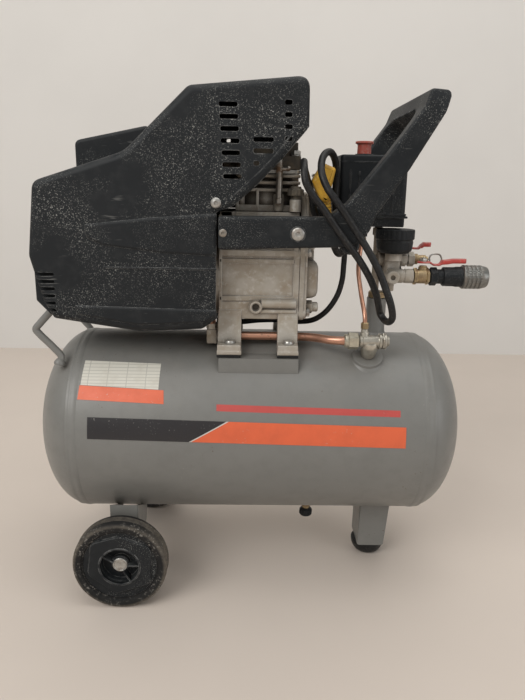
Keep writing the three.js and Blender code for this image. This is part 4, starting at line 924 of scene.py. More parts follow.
# ------------------------------------------------------------------ shroud
def offset_corners(corners, distance):
    """The corners of an outline moved inwards, with radii that still fit."""
    count = len(corners)
    area = sum(corners[i][0] * corners[(i + 1) % count][1] - corners[(i + 1) % count][0] * corners[i][1]
               for i in range(count))
    turn = 1 if area > 0 else -1
    result = []
    for i, corner in enumerate(corners):
        here = Vector(corner[:2])
        e0 = (here - Vector(corners[i - 1][:2])).normalized()
        e1 = (Vector(corners[(i + 1) % count][:2]) - here).normalized()
        n0, n1 = Vector((-e0.y, e0.x)) * turn, Vector((-e1.y, e1.x)) * turn
        radius = corner[2] if len(corner) > 2 else 0
        if radius:
            outside = (e0.x * e1.y - e0.y * e1.x) * turn > 0
            radius = max(0.4, radius - distance if outside else radius + distance)
        point = here + (n0 + n1) * (distance / (1 + n0.dot(n1)))
        result.append((point.x, point.y, radius))
    return result


def soft_prism(corners, axis, levels, steps=6):
    """A prism whose section shrinks at its ends; levels are (coordinate, distance inwards)."""
    to3d = AXES[axis]
    return loft([[to3d(a, b, level) for a,
                  b in rounded(offset_corners(corners, depth) if depth else corners, steps)]
                 for level, depth in levels])


def slab(corners, axis, low, high, edge=1.0, steps=6):
    return soft_prism(corners, axis, soft_levels(low, high, edge, 3), steps)


def soft_box(low, high, corner=2.0, edge=1.0, axis="y"):
    (x0, y0, z0), (x1, y1, z1) = low, high
    spans = {"x": ((y0, y1), (z0, z1), (x0, x1)), "y": ((x0, x1), (z0, z1), (y0, y1)),
             "z": ((x0, x1), (y0, y1), (z0, z1))}[axis]
    (a0, a1), (b0, b1), (c0, c1) = spans
    return slab([(a0, b0, corner), (a1, b0, corner), (a1, b1, corner), (a0, b1, corner)], axis, c0, c1,
                edge)


SHROUD_HALF, SHROUD_WALL, SHROUD_BEVEL = 98, 3, 9
SHROUD_OUTLINE = [
    (59, 650, 14), (60, 592, 5), (31, 558, 2), (4, 530, 4), (-24, 505, 4), (-43, 498, 2), (-43, 374, 6),
    (-62, 360, 12), (-139, 356, 20), (-241, 371, 6), (-252, 391, 6), (-266, 446, 20), (-256, 531, 14),
    (-150, 566, 40), (-76, 637, 14),
]
SHROUD_MOUTH = [(120, 596), (55.4, 596), (26.4, 562), (-0.3, 534), (-27, 510.5), (-49, 504), (-49, 376),
                (120, 376)]
HUMP = [(-238, 520, 1), (-238, 584, 9), (-140, 605, 6), (-140, 520, 1)]


def slot_tools(side):
    def slot(x, z, length):
        low, high = (-104, -60) if side < 0 else (60, 104)
        return prism([(x, z - 2.6, 2.5), (x + length, z - 2.6, 2.5), (x + length, z + 2.6, 2.5),
                      (x, z + 2.6, 2.5)], "y", low, high, 4)
    first = [slot(-42.2 + i * 0.85, 617.2 - i * 12.85, 21) for i in range(7)]
    second = [slot(-3.3, 580.7, 23), slot(-3.1, 568.5, 23), slot(-2.9, 555, 7)]
    third = [slot(31.2 + i * 0.4, 620.4 - i * 12.8, 8.6) for i in range(4)]
    return first + second + third


def pan_screw(point, direction, radius, height=2.6):
    """A dished head with a round recess in its top."""
    head = lathe([(0, -1), (radius, -1), (radius, height * 0.35), (radius * 0.8, height * 0.8),
                  (radius * 0.4, height),
                  (radius * 0.26, height * 0.55), (0, height * 0.4)], point, direction, 40)
    return head


def shroud_half(side, name):
    joint = 0.15
    edge = [(-level if side > 0 else level, depth) for level,
            depth in soft_levels(-SHROUD_HALF, 0, SHROUD_BEVEL, 6)[:7]]
    outer = soft_prism(SHROUD_OUTLINE, "y", edge + [(side * joint, 0)], 8)
    inner_corners = offset_corners(SHROUD_OUTLINE, SHROUD_WALL)
    inner_edge = [(side * (SHROUD_HALF - SHROUD_WALL), 6), (side * (SHROUD_HALF - SHROUD_WALL - 2), 3.5),
                  (side * (SHROUD_HALF - SHROUD_WALL - 6), 0), (-side * 6, 0)]
    tools = [soft_prism(inner_corners, "y", inner_edge, 6)]
    low, high = sorted((side * (SHROUD_HALF - SHROUD_WALL), -side * 7))
    tools.append(prism(SHROUD_MOUTH, "y", low, high))
    tools.append(box((-228, -72, 340), (-40, 72, 400)))
    tools.append(box((-262, side * 75 - 9, 350), (-236, side * 75 + 9, 400)))
    shape_joins = None
    if side > 0:
        shape_joins = soft_prism(HUMP, "y", soft_levels(28, 98, 5, 4), 6)
        tools.append(slab(offset_corners(HUMP, 3), "y", 31, 95, 2))
    low, high = (-101, -side * 5) if side < 0 else (-side * 5, 101)
    louvres = []
    for i in range(6):
        z = 380 + i * 8.6
        louvres.append(prism([(-280, z - 1, 0), (-236, z, 1.9), (-236, z + 4, 1.9), (-280, z + 4.4, 0)],
                             "y", low, high, 4))
    tools += [together(*louvres), together(*slot_tools(side))]
    obj = piece("shroud_shell_" + name, outer, BLACK, stands_for="shroud_" + name,
                joins=shape_joins,
                cuts=tools, angle=34)
    modifier = obj.modifiers.new("edges", "BEVEL")
    modifier.width, modifier.segments, modifier.limit_method = 0.6 * MM, 2, "ANGLE"
    modifier.angle_limit = math.radians(50)
    baked(obj)
    shade(obj, 34)

    def flank(shape):
        return shape if side < 0 else mirrored(shape)
    panel = soft_prism([(-197, 484, 3), (-120, 493, 60), (-44.5, 498.6, 2), (-44.5, 449, 2),
                        (-110, 452, 60), (-176, 459.5, 20), (-197, 468, 10)],
                       "y", [(-97, 0), (-98.2, 0.2), (-99.4, 2), (-99.8, 4)], 6)
    ledge = soft_prism([(-178, 435.5, 3), (-44.5, 435.5, 2), (-44.5, 432.6, 2), (-178, 432.6, 2)], "y",
                       [(-97, 0), (-98.4, 0.1), (-98.9, 0.9)], 4)
    strip = soft_prism([(-214, 389, 4), (-44.5, 385.5, 2), (-44.5, 378, 3), (-60, 369, 10), (-139, 365, 20),
                        (-212, 377, 6)],
                       "y", [(-95, 0), (-98.6, 0.3), (-99.8, 2), (-100, 3.5)], 6)
    lip = swept([(57.5, 0, 597), (33, 0, 563.5), (6, 0, 535), (-22, 0, 510)], 1.5, 10, 3)
    lip = shifted(lip, -6.5, -96.9, 6)
    piece("shroud_ribs_" + name, together(flank(panel), flank(ledge), flank(strip), flank(lip)), BLACK,
          angle=40)
    screws = together(flank(pan_screw((-45.3, -98, 510.5), (0, -1, 0), 6)))
    piece("shroud_screw_" + name, screws, STEEL, angle=25)


def shroud():
    shroud_half(-1, "front")
    shroud_half(1, "rear")
    guide = slab([(-66, 500, 4), (-8, 500, 4), (-8, 640, 8), (-66, 640, 8)], "y", 60, 62, 0.6)
    window = prism([(-42, 587.5, 1), (-34, 587.5, 1), (-34, 592, 1), (-42, 592, 1)], "y", 50, 70)
    piece("air_guide", guide, CLEAN_BLACK, cuts=window, angle=40)
    backs = [slab([(-262, 392, 4), (-246, 375, 4), (-233, 375, 4), (-233, 432, 4), (-262, 432, 4)], "y",
                  *span, 0.6) for span in ((-88, -86), (86, 88))]
    piece("louvre_backs", together(*backs), CLEAN_BLACK, angle=40)


# ------------------------------------------------------------------ handle
HANDLE_HALF, HANDLE_THICK = 105, 25
HANDLE_ORIGIN = Vector((134, 0, 485))
HANDLE_UP = Vector((77, 0, 129)).normalized()
HANDLE_OUT = Vector((0, 1, 0)).cross(HANDLE_UP)      # square to the plane of the arms
HANDLE_OUTLINE = [
    (-42.5, 496, 2), (84, 497, 10), (107, 514, 6), (149, 568), (186, 619, 4), (193, 638.5, 3),
    (215, 637.5, 4), (217, 632, 6),
    (211, 614, 8), (175, 552), (141, 501, 4), (133, 481, 10), (114, 463, 4), (-42.5, 457.5, 2),
]


def arm_plane(corners, depth):
    """A prism whose outline (across, up the slope) lies in the plane of the handle's arms."""
    frame_of_arms = Matrix((Vector((0, 1, 0)), HANDLE_UP, HANDLE_OUT)).transposed().to_4x4()
    return moved(prism(corners, "z", -depth, depth, 10), Matrix.Translation(HANDLE_ORIGIN) @ frame_of_arms)


def handle():
    half, inside = HANDLE_HALF, HANDLE_HALF - HANDLE_THICK
    obj = piece("carry_handle", prism(HANDLE_OUTLINE, "y", -half, half, 6), BLACK,
                stands_for="handle")
    combine(obj, arm_plane([(-half, -420), (half, -420), (half, 190, 52), (-half, 190, 52)], 260),
            "INTERSECT")
    combine(obj, arm_plane([(-inside, -430), (inside, -430), (inside, 143, 34), (-inside, 143, 34)], 270),
            "DIFFERENCE")
    modifier = obj.modifiers.new("solid", "REMESH")
    modifier.mode, modifier.voxel_size, modifier.adaptivity = "VOXEL", 1.7 * MM, 0.0
    modifier = obj.modifiers.new("rounding", "SMOOTH")
    modifier.factor, modifier.iterations = 0.5, 9
    modifier = obj.modifiers.new("fewer_faces", "DECIMATE")
    modifier.ratio = 0.35
    baked(obj)
    for polygon in obj.data.polygons:
        polygon.use_smooth = True
    obj.data.materials.clear()
    obj.data.materials.append(BLACK)
    lobes = [lathe([(0, 0), (9.5, 0), (11, 1.5), (11, 15), (9.5, 16.5), (0, 16.5)], (112, s * 84.5, 465),
                   (0, s, 0), 40) for s in (-1, 1)]
    piece("handle_lobes", together(*lobes), BLACK, angle=35)
    ribs = []
    for i in range(-8, 9):
        bar = soft_box((-1.6, -1.3, -25.5), (1.6, 1.3, -4), 1.0, 0.8, "z")
        points = [tuple(HANDLE_ORIGIN + HANDLE_UP
                        * (143 + p[1]) + Vector((0, i * 6.5 + p[0], 0)) + HANDLE_OUT * p[2])
                        for p in bar[0]]
        ribs.append((points, bar[1]))
    piece("handle_grip_ribs", together(*ribs), BLACK, angle=40)
    big = [pan_screw((49.9, s * HANDLE_HALF, 477.2), (0, s, 0), 7.4, 2.4) for s in (-1, 1)]
    rings = [lathe([(7.6, -0.6), (9.4, -0.6), (9.2, 0.7), (7.9, 0.9), (7.6, -0.6)],
                   (49.9, s * HANDLE_HALF, 477.2), (0, s, 0), 40) for s in (-1, 1)]
    piece("handle_screws", together(*big), STEEL, angle=25)
    piece("handle_screw_seats", together(*rings), BLACK, angle=25)
    small = [pan_screw((-36.9, s * HANDLE_HALF, 477), (0, s, 0), 4.6, 1.8) for s in (-1, 1)]
    piece("handle_rusty_screws", together(*small), RUSTY, angle=25)


# ------------------------------------------------------------------ saddles, crankcase and pump
CRANK_Z = 415


def both(*shapes):
    """The shapes and their mirror images on the other side."""
    return together(*shapes, *[mirrored(s) for s in shapes])


def saddles():
    cutter = rod((-400, 0, TANK_Z), (400, 0, TANK_Z), TANK_R + 0.15, 160)
    for name, side in (("front", -1), ("rear", 1)):
        def flank(shape):
            return shape if side < 0 else mirrored(shape)
        top_plate = box((-43, -84, 317.7), (57.5, -50, 320.7))
        flange = box((-43, -84, 302), (57.5, -81, 320))
        tabs = [box((-30, -84, 298), (-18, -81.2, 304)), box((33, -84, 297), (52, -81.2, 304))]
        piece("saddle_plate_" + name, flank(together(top_plate, flange, *tabs)), TANK_PAINT,
              stands_for="saddle_" + name, cuts=cutter, bevel=0.7, segments=2)
        bead = swept([(-41, -81.5, 303.2), (0, -81.5, 302.8), (55, -81.5, 303.2)],
                     lambda s: 2.0 + 0.3 * math.sin(s * 90), 10, 1.2)
        piece("saddle_weld_" + name, flank(bead), TANK_PAINT, angle=60)
        bolts, washers = [], []
        for x in (-29, 45):
            bolts += [rod((x, -70, 314), (x, -70, 338), 3.4, 24, 0.5),
                      hexagon((x, -70, 313), (x, -70, 317.6), 11.6, 10),
                      lathe([(0, 337.2), (6.6, 337.2), (6.6, 339.4), (5.6, 341.2), (3, 342), (0, 342)],
                            (x, -70, 0), (0, 0, 1), 32)]
            washers.append(lathe([(0, 0), (6.2, 0), (6.4, 0.6), (5.6, 1.2), (0, 1.3)],
                                 (x - 0.5, -84, 311.5), (0, -1, 0), 28))
        piece("saddle_bolts_" + name, flank(together(*bolts)), STEEL, angle=30)
        pads = [soft_box((x0, -80.4, 320.8), (x1, -60, 323.9), 1.2, 0.8, "z") for x0,
                x1 in ((-45.5, -15), (30.5, 57.5))]
        piece("saddle_pads_" + name, flank(together(*pads)), black_rubber("pad_rubber_" + name, 0.2),
              angle=50)


def crankcase():
    body = slab([(-44, 370, 4), (56, 370, 4), (56, 496, 4), (-44, 496, 4)], "y", -55.4, 55.4, 3)
    flange = lathe([(12, 0), (56.6, 0), (58, 1.4), (58, 9), (12, 9), (12, 0)], (-52, 0, CRANK_Z), (1, 0, 0),
                   80)
    frame_bars = [soft_box((-44, -57, 437), (55, -50, 443), 2, 1.4),
                  soft_box((-44, -57.6, 446), (52, -50, 454), 2, 1.4),
                  soft_box((-44, -57, 389), (55, -50, 396), 3, 1.4),
                  soft_box((-44, -57, 372), (-40, -50, 496), 2, 1),
                  soft_box((49, -57, 372), (55.5, -50, 460), 2, 1.2),
                  soft_box((-44, -56.8, 366), (56, -50, 389), 3, 1.5)]
    rib = lathe([(0, 0), (5.6, 0), (6.4, 0.9), (6.4, 44), (0, 44)], (10, -56.5, 386.5), (1, 0, 0), 36)
    rib_low = lathe([(0, 0), (3.2, 0), (3.2, 45), (0, 45)], (9, -57.2, 376.5), (1, 0, 0), 24)
    port = lathe([(5, 1), (5, 12.2), (6.2, 13), (7.6, 12.6), (8.4, 11), (8.8, 0), (5, 0), (5, 1)],
                 (3, -50, 382), (0, -1, 0), 48)
    legs = []
    for x0, x1 in ((-45, -15), (31, 57)):
        outline = [(-80, 324, 1.5), (-60, 324, 2), (-40, 372, 3), (-44, 378), (-57.4, 378, 2),
                   (-66, 338, 2.5), (-80, 337, 1.5)]
        legs.append(slab(outline, "x", x0, x1, 1.6, 4))
        legs.append(slab([(-80.4, 324.2, 1.5), (-66, 324.2, 1), (-66, 330, 1), (-80.4, 330, 1.5)], "x",
                         x0 - 0.4, x1 + 0.6, 0.8, 3))
    neck_ribs = [soft_box((x - 1.6, -55.6, 490), (x + 1.6, -40, 499.6), 1, 0.7) for x in (-22, 3, 29)]
    deck = [soft_box((-43, -55, 494), (55, -30, 499.8), 2, 1, "z"),
            soft_box((-43, 30, 494), (55, 55, 499.8), 2, 1, "z"),
            soft_box((-43, -55, 494), (-26, 55, 499.8), 2, 1, "z")]
    cover_flange = slab([(-57.6, 366, 8), (57.6, 366, 8), (57.6, 458, 8), (-57.6, 458, 8)], "x", 50.6, 57,
                        0.8)
    piece("crankcase_casting",
          together(body, flange, *[s for bar in frame_bars for s in (bar, mirrored(bar))],
                   both(rib, rib_low), port, both(*legs),
                                        both(*neck_ribs), *deck, cover_flange), ALLOY,
                                        stands_for="crankcase", angle=34,
          cuts=[box((-28, -42, 377), (50, 42, 478)), rod((16, 0, 470), (16, 0, 510), 29, 64),
                rod((-60, 0, CRANK_Z), (-20, 0, CRANK_Z), 12.1, 48)])
    plug = lathe([(0, 0), (4.9, 0), (4.9, 2.5), (3, 3), (0, 3)], (3, -54, 382), (0, -1, 0), 32)
    piece("crankcase_plug", plug, DARK_ALLOY)


def crankcase_cover():
    x0 = 57.3
    outline = [(-57, 364, 10), (57, 364, 10), (57, 462, 6), (45, 524, 4), (-45, 524, 4), (-57, 462, 6)]
    plate = slab(outline, "x", x0, x0 + 6.5, 0.9)
    rim = slab(offset_corners(outline, 1.2), "x", x0 + 5.6, x0 + 10, 1.6)
    step = soft_prism([(-38, 450, 4), (38, 450, 4), (38, 509, 4), (-38, 509, 4)], "x",
                      [(x0 + 8, 0), (x0 + 16, 0.8), (x0 + 19, 2), (x0 + 20, 4)])
    bulge = soft_prism([(-50, 390, 14), (50, 390, 14), (50, 440, 14), (-50, 440, 14)], "x",
                       [(x0 + 8, 0), (x0 + 18, 1.2), (x0 + 23, 3.5), (x0 + 25, 8)])
    ribs = [soft_prism([(y - 2, 440, 0.5), (y + 2, 440, 0.5), (y + 2, 452, 0.5), (y - 2, 452, 0.5)], "x",
                       [(x0 + 8, 0), (x0 + 19, 0), (x0 + 19.8, 0.8)])
            for y in (-30, -15, 0, 15, 30)]
    places = [(-50, 450), (50, 450), (-50, 374), (50, 374), (0, 374), (-38, 516), (38, 516)]
    bosses = [lathe([(0, -9.5), (7.2, -9.5), (7, 8.8), (6.2, 9.6), (0, 9.6)], (x0, y, z), (1, 0, 0), 32)
              for y, z in places]
    piece("pump_cover", together(plate, rim, step, bulge, *ribs, *bosses), ALLOY,
          stands_for="crankcase_cover", angle=34)
    bolts = [lathe([(0, 9.4), (6, 9.4), (6, 10.4), (0, 10.4)], (x0, y, z), (1, 0, 0), 28) for y,
             z in places]
    bolts += [hexagon((x0 + 10.2, y, z), (x0 + 14.8, y, z), 9.6, 15) for y, z in places]
    sight = together(hexagon((x0 + 9, -40, 380), (x0 + 19, -40, 380), 15, 0),
                     lathe([(0, 18), (6.3, 18), (6.3, 25), (5.2, 26), (0, 26)], (x0, -40, 380), (1, 0, 0),
                           36))
    piece("pump_cover_bolts", together(*bolts), STEEL, angle=30)
    piece("oil_sight_plug", sight, ALLOY, angle=30)


def rounded_plate(z0, z1, edge=0.6, x0=-24, x1=56, y=44, corner=8):
    return slab([(x0, -y, corner), (x1, -y, corner), (x1, y, corner), (x0, y, corner)], "z", z0, z1, edge)


def cylinder_and_head():
    bore = rod((16, 0, 480), (16, 0, 600), 24, 72)
    core = together(rod((16, 0, 500.3), (16, 0, 545), 32, 72), rod((16, 0, 500.4), (16, 0, 526), 39.5, 96))
    fins = [slab([(-24, -47, 10), (56, -47, 10), (56, 47, 10), (-24, 47, 10)], "z", z, z + 4, 1.1)
            for z in (500.3, 524, 532.5, 540.5)]
    ribs = [soft_box((x - 1.8, -48, 500.3), (x + 1.8, 48, 526.3), 0.8, 0.8, "y") for x in (-22, 3, 29, 52)]
    neck = together(rod((49, -58, 500.5), (49, -58, 515.2), 7, 40, 0.6),
                    soft_box((44, -56, 500.5), (54, -45, 513), 1.5, 1))
    posts = [rod((x, y, 500.5), (x, y, 545), 4.6, 28) for x in (-17, 49) for y in (-38, 38)]
    wall = together(soft_box((-23, -47.6, 500.4), (55, -44.8, 508), 0.8, 0.6),
                    soft_box((-23, 44.8, 500.4), (55, 47.6, 508), 0.8, 0.6))
    boss = rod((29, -46, 500.6), (29, -46, 521), 6.4, 32, 0.8)
    piece("cylinder_casting", together(core, *fins, *ribs, neck, *posts, wall, boss), ALLOY,
          stands_for="cylinder", cuts=bore, angle=34)
    piece("valve_plate_sheet", rounded_plate(545.4, 549.9, 0.4), STEEL,
          stands_for="valve_plate",
          cuts=together(rod((6, 0, 540), (6, 0, 560), 4, 24), rod((26, 0, 540), (26, 0, 560), 4, 24)))
    body = rounded_plate(550.4, 566.3, 1.2)
    fins = [soft_box((-20, y - 1.6, 564), (52, y + 1.6, 582.3), 1.2, 0.7)
            for y in (-36, -24, -12, 0, 12, 24, 36)]
    neck = lathe([(8, 10), (12.5, 10), (12, 34.5), (11, 36), (8, 36), (8, 10)], (36, 0, 550.3), (0, 0, 1),
                 48)
    port = together(hexagon((-40, -18, 559.3), (-31, -18, 559.3), 17, 0),
                    rod((-32, -18, 559.3), (-20, -18, 559.3), 8, 40))
    rings = [lathe([(0, 0), (6.5, 0), (6.5, 1.2), (0, 1.2)], (x, y, 566.2), (0, 0, 1), 28)
             for x in (-17, 49) for y in (-38, 38)]
    piece("head_casting", together(body, *fins, neck, port), DARK_ALLOY,
          stands_for="cylinder_head", angle=34,
          cuts=together(rod((-45, -18, 559.3), (-14, -18, 559.3), 6.2, 32),
                        rod((36, 0, 549), (36, 0, 590), 8, 40)))
    bolts = [hexagon((x, y, 567.2), (x, y, 573), 11, 12) for x in (-17, 49) for y in (-38, 38)]
    piece("head_bolts", together(*rings, *bolts), STEEL, angle=30)
    profile = [(0, 0), (12, 0), (13.5, 0.8), (16.6, 3)]
    for i in range(6):
        z = 4.2 + i * 3.1
        profile += [(16.9, z), (16.9, z + 1.6), (15.9, z + 2), (15.9, z + 2.7)]
    profile += [(16.6, 23.6), (16.2, 24.6), (14, 27), (12.6, 28), (0, 28)]
    piece("air_filter", lathe(profile, (36, 0, 586.6), (0, 0, 1), 64), CLEAN_BLACK,
          stands_for="intake_filter", angle=35)
    pipe = together(lathe([(2.3, 510), (3.6, 510), (3.9, 510.6), (3.9, 560.6), (3.5, 562), (2.3, 562),
                           (2.3, 510)], (29, -54.5, 0), (0, 0, 1), 36),
                    rod((29, -48.4, 512), (29, -56, 512), 4.6, 32, 0.8),
                    lathe([(0, 2), (2.8, 2), (2.8, 9), (3.3, 10), (2.8, 12), (2.3, 13), (0, 13)],
                          (29, -54.5, 551), (1, 0, 0), 32),
                    lathe([(0, 509.5), (3, 509.5), (4.8, 510.4), (4.8, 515.4), (4, 516.2), (0, 516.2)],
                          (29, -54.5, 0), (0, 0, 1), 32))
    piece("breather_tube", pipe, RUSTY, stands_for="breather_pipe", angle=35)
    cap = lathe([(0, 0), (5, 0), (5, 4), (8.6, 4), (9.5, 4.8), (9.5, 11.2), (8.8, 12), (7.6, 12.2),
                 (7, 13.2), (6.4, 15), (0, 15)], (49, -58, 515.5), (0, 0, 1), 48)
    wavy = [(49 + (p[0] - 49) * (1 + 0.05 * math.cos(12 * math.atan2(p[1] + 58, p[0] - 49))) * (1
            if 519.6 < p[2] < 527.4 else 1) if 519.6 < p[2] < 527.4
            and math.hypot(p[0] - 49, p[1] + 58) > 7.5 else p[0],
             -58 + (p[1] + 58) * (1 + 0.05 * math.cos(12 * math.atan2(p[1] + 58, p[0] - 49)))
             if 519.6 < p[2] < 527.4 and math.hypot(p[0] - 49, p[1] + 58) > 7.5 else p[1], p[2])
             for p in cap[0]]
    piece("oil_filler_cap", (wavy, cap[1]), DARK_ALLOY, stands_for="oil_cap",
          angle=45)


shroud()
handle()
saddles()
crankcase()
crankcase_cover()
cylinder_and_head()

# ------------------------------------------------------------------ switch, regulator and manifold
def switch_box():
    low, high, x0, x1, half = 497, 570, 104.5, 190, 38
    plate = slab([(x0 - 1, -half - 1, 4), (x1 + 3, -half - 1, 4), (x1 + 3, half + 1, 4),
                  (x0 - 1, half + 1, 4)], "z", low - 3, low - 0.4, 0.7)
    body = slab([(x0 + 6, -half + 3, 4), (x1, -half + 3, 4), (x1, half - 3, 4), (x0 + 6, half - 3, 4)], "z",
                483, low - 2, 1.5)
    port = lathe([(0, -15), (5, -15), (6.3, -14.2), (6.5, -9), (6.5, 2), (0, 2)], (138, -30, 485),
                 (0, 0, 1), 6)
    glands = together(lathe([(4.4, 0), (5.6, 0), (6, 0.6), (6, 5), (5.2, 5.6), (5.2, 7), (6, 7.6), (6, 14),
                             (4.4, 14), (4.4, 0)], (98.6, -10, 489), (1, 0, 0), 36),
                      lathe([(3.9, 0), (6.6, 0), (7.5, 1), (7.5, 6), (6.6, 6.8), (6.6, 8), (7.5, 8.6),
                             (7.5, 14), (3.9, 14), (3.9, 0)], (119, -14, 470), (0, 0, 1), 36))
    piece("switch_bottom", together(plate, body, port, glands), CLEAN_BLACK,
          stands_for="switch_base", angle=36)
    outline = [(x0, -half, 7), (x1, -half, 7), (x1, half, 7), (x0, half, 7)]
    shell = soft_prism(outline, "z",
                       [(low, 0), (high - 3, 0.6), (high - 1.2, 1.3), (high - 0.3, 2.4), (high, 4.5)], 8)
    cavity = soft_prism(offset_corners(outline, 3), "z", [(low - 1, 0), (high - 3.4, 0)], 6)
    collar = lathe([(9.3, -2), (11.5, -2), (11.5, 1.4), (10.9, 2), (9.3, 2), (9.3, -2)], (138, -8, high),
                   (0, 0, 1), 48)
    hole = rod((138, -8, high - 10), (138, -8, high + 10), 9.3, 48)
    ribs = []
    for x, top in ((118, 552), (129, 550), (150, 552), (161, 545), (172, 548)):
        ribs += [soft_box((x - 0.9, -half - 0.8, low + 3), (x + 0.9, -half + 1, top), 0.8, 0.4, "z"),
                 soft_box((x - 0.9, half - 1, low + 3), (x + 0.9, half + 0.8, top), 0.8, 0.4, "z")]
    skirt = slab([(x0 - 0.6, -half - 0.6, 7), (x1 + 1.6, -half - 0.6, 7), (x1 + 1.6, half + 0.6, 7),
                  (x0 - 0.6, half + 0.6, 7)], "z", low, low + 2.6, 0.6)
    cap_seam = slab([(x0 + 0.2, -half + 0.2, 7), (x1 + 0.2, -half - 0.4, 7), (x1 + 0.2, half + 0.4, 7),
                     (x0 + 0.2, half - 0.2, 7)], "z", high - 9, high - 8, 0.3)
    piece("switch_hood", together(shell, skirt, *ribs, cap_seam), CLEAN_BLACK,
          stands_for="switch_cover",
                cuts=together(cavity, hole), angle=36)
    piece("switch_hood_collar", collar, CLEAN_BLACK, angle=36)
    profile = [(0, -14), (4.8, -14), (5, -13.8), (5, 0), (8.6, 0), (8.9, 0.4), (8.6, 12), (9.2, 13.4),
               (11, 14), (11.4, 14.5), (11.4, 16.4),
               (10.8, 17), (8.8, 17), (8.2, 16), (7.6, 12), (0, 11.6)]
    piece("switch_pull_knob", lathe(profile, (138, -8, high + 0.3), (0, 0, 1), 56), FADED_RED, "power_knob",
          "switch_knob", angle=34)


def regulator():
    profile = [(0, 0), (17.6, 0), (18.4, 0.3), (22.3, 3.5), (23.0, 6), (23.8, 15), (23.2, 15.6),
               (23.2, 16.8), (23.9, 17.4), (24.8, 18.2), (25, 19),
               (25, 29.2), (24.4, 30.2), (22.6, 30.5), (0, 30.5)]
    sides = 144
    points, faces = lathe(profile, (182, -22, 449.7), (0, 0, 1), sides)
    fluted = []
    for p in points:
        reach, a = math.hypot(p[0] - 182, p[1] + 22), math.atan2(p[1] + 22, p[0] - 182)
        height = p[2] - 449.7
        ripple = (0.55 if 19 < height < 29.5 else 0.28 if 4 < height < 14.8 else 0) * max(0,
                math.sin(a * 24))
        shrink = (reach - ripple) / reach if reach > 20 else 1
        fluted.append((182 + (p[0] - 182) * shrink, -22 + (p[1] + 22) * shrink, p[2]))
    piece("regulator_dial", (fluted, faces), CLEAN_BLACK, "pressure_knob",
          "regulator_knob", angle=38)
    bush = together(hexagon((169, 4, 386.3), (169, 4, 395), 22, 12),
                    rod((169, 4, 376), (169, 4, 386.6), 9.1, 36))
    piece("riser_bushing", bush, BRASS, stands_for="riser_bush",
          cuts=rod((165.5, 5, 370), (165.5, 5, 400), 5.9, 32), bevel=0.3, segments=2)
    stem = together(rod((165.5, 5, 387), (165.5, 5, 482.7), 5.3, 40, 0.6),
                    lathe([(0, 0), (7, 0), (7.4, 1), (7.4, 9), (6.8, 10), (0, 10)], (165.5, 5, 470),
                          (0, 0, 1), 6))
    upper = together(lathe([(0, 0), (8, 0), (9, 1.2), (9, 24), (7.8, 25), (7.8, 27), (9, 28), (9, 30.5),
                            (0, 30.5)], (165.5, -6, 440), (1, 0, 0), 44),
                     hexagon((195, -6, 440), (203, -6, 440), 17, 0),
                     lathe([(0, 0), (7.6, 0), (7.6, 2), (0, 2)], (202.5, -6, 440), (1, 0, 0), 36),
                     hexagon((204, -6, 440), (213, -6, 440), 17, 0))
    bridge = soft_box((172.5, -23.6, 412.5), (191.5, 1.6, 445.5), 4, 3, "x")
    lower = together(lathe([(0, 0), (8, 0), (9.3, 1.4), (9.3, 20), (8.6, 21), (8.6, 22.5), (9.3, 23.5),
                            (9.3, 33.6), (0, 33.6)], (174, -25, 420), (1, 0, 0), 44))
    port = lathe([(3.4, 6), (3.4, 12.6), (5, 13), (7.4, 13), (8.6, 12), (9, 9), (9, 0), (3.4, 0), (3.4, 6)],
                 (180, -25, 419), (0, -1, 0), 44)
    drop = lathe([(0, 0), (3.6, 0), (4.4, 0.8), (4.4, 16), (0, 16)], (183, -12, 398), (0, 0, 1), 32)
    seat = lathe([(0, 0), (11, 0), (11, 8.6), (10.2, 9.4), (0, 9.4)], (182, -22, 440), (0, 0, 1), 44)
    rear = rod((204, -6, 440), (204, 7.5, 440), 7, 36, 0.6)
    gauge = rod((187, -6, 421), (187, 8, 421), 6, 36, 0.6)
    collar = lathe([(0, 0), (7.6, 0), (8, 0.6), (8, 6), (7.6, 6.6), (0, 6.6)], (165.5, 5, 436.5), (0, 0, 1),
                   36)
    piece("manifold_casting", together(stem, upper, bridge, lower, port, drop, seat, rear, gauge, collar),
          ALLOY, stands_for="manifold", angle=34)
    piece("manifold_screw",
          lathe([(0, -6.5), (3.3, -6.5), (3.3, -1.5), (0, -1.3)], (180, -38, 419), (0, -1, 0), 28),
          DARK_ALLOY)


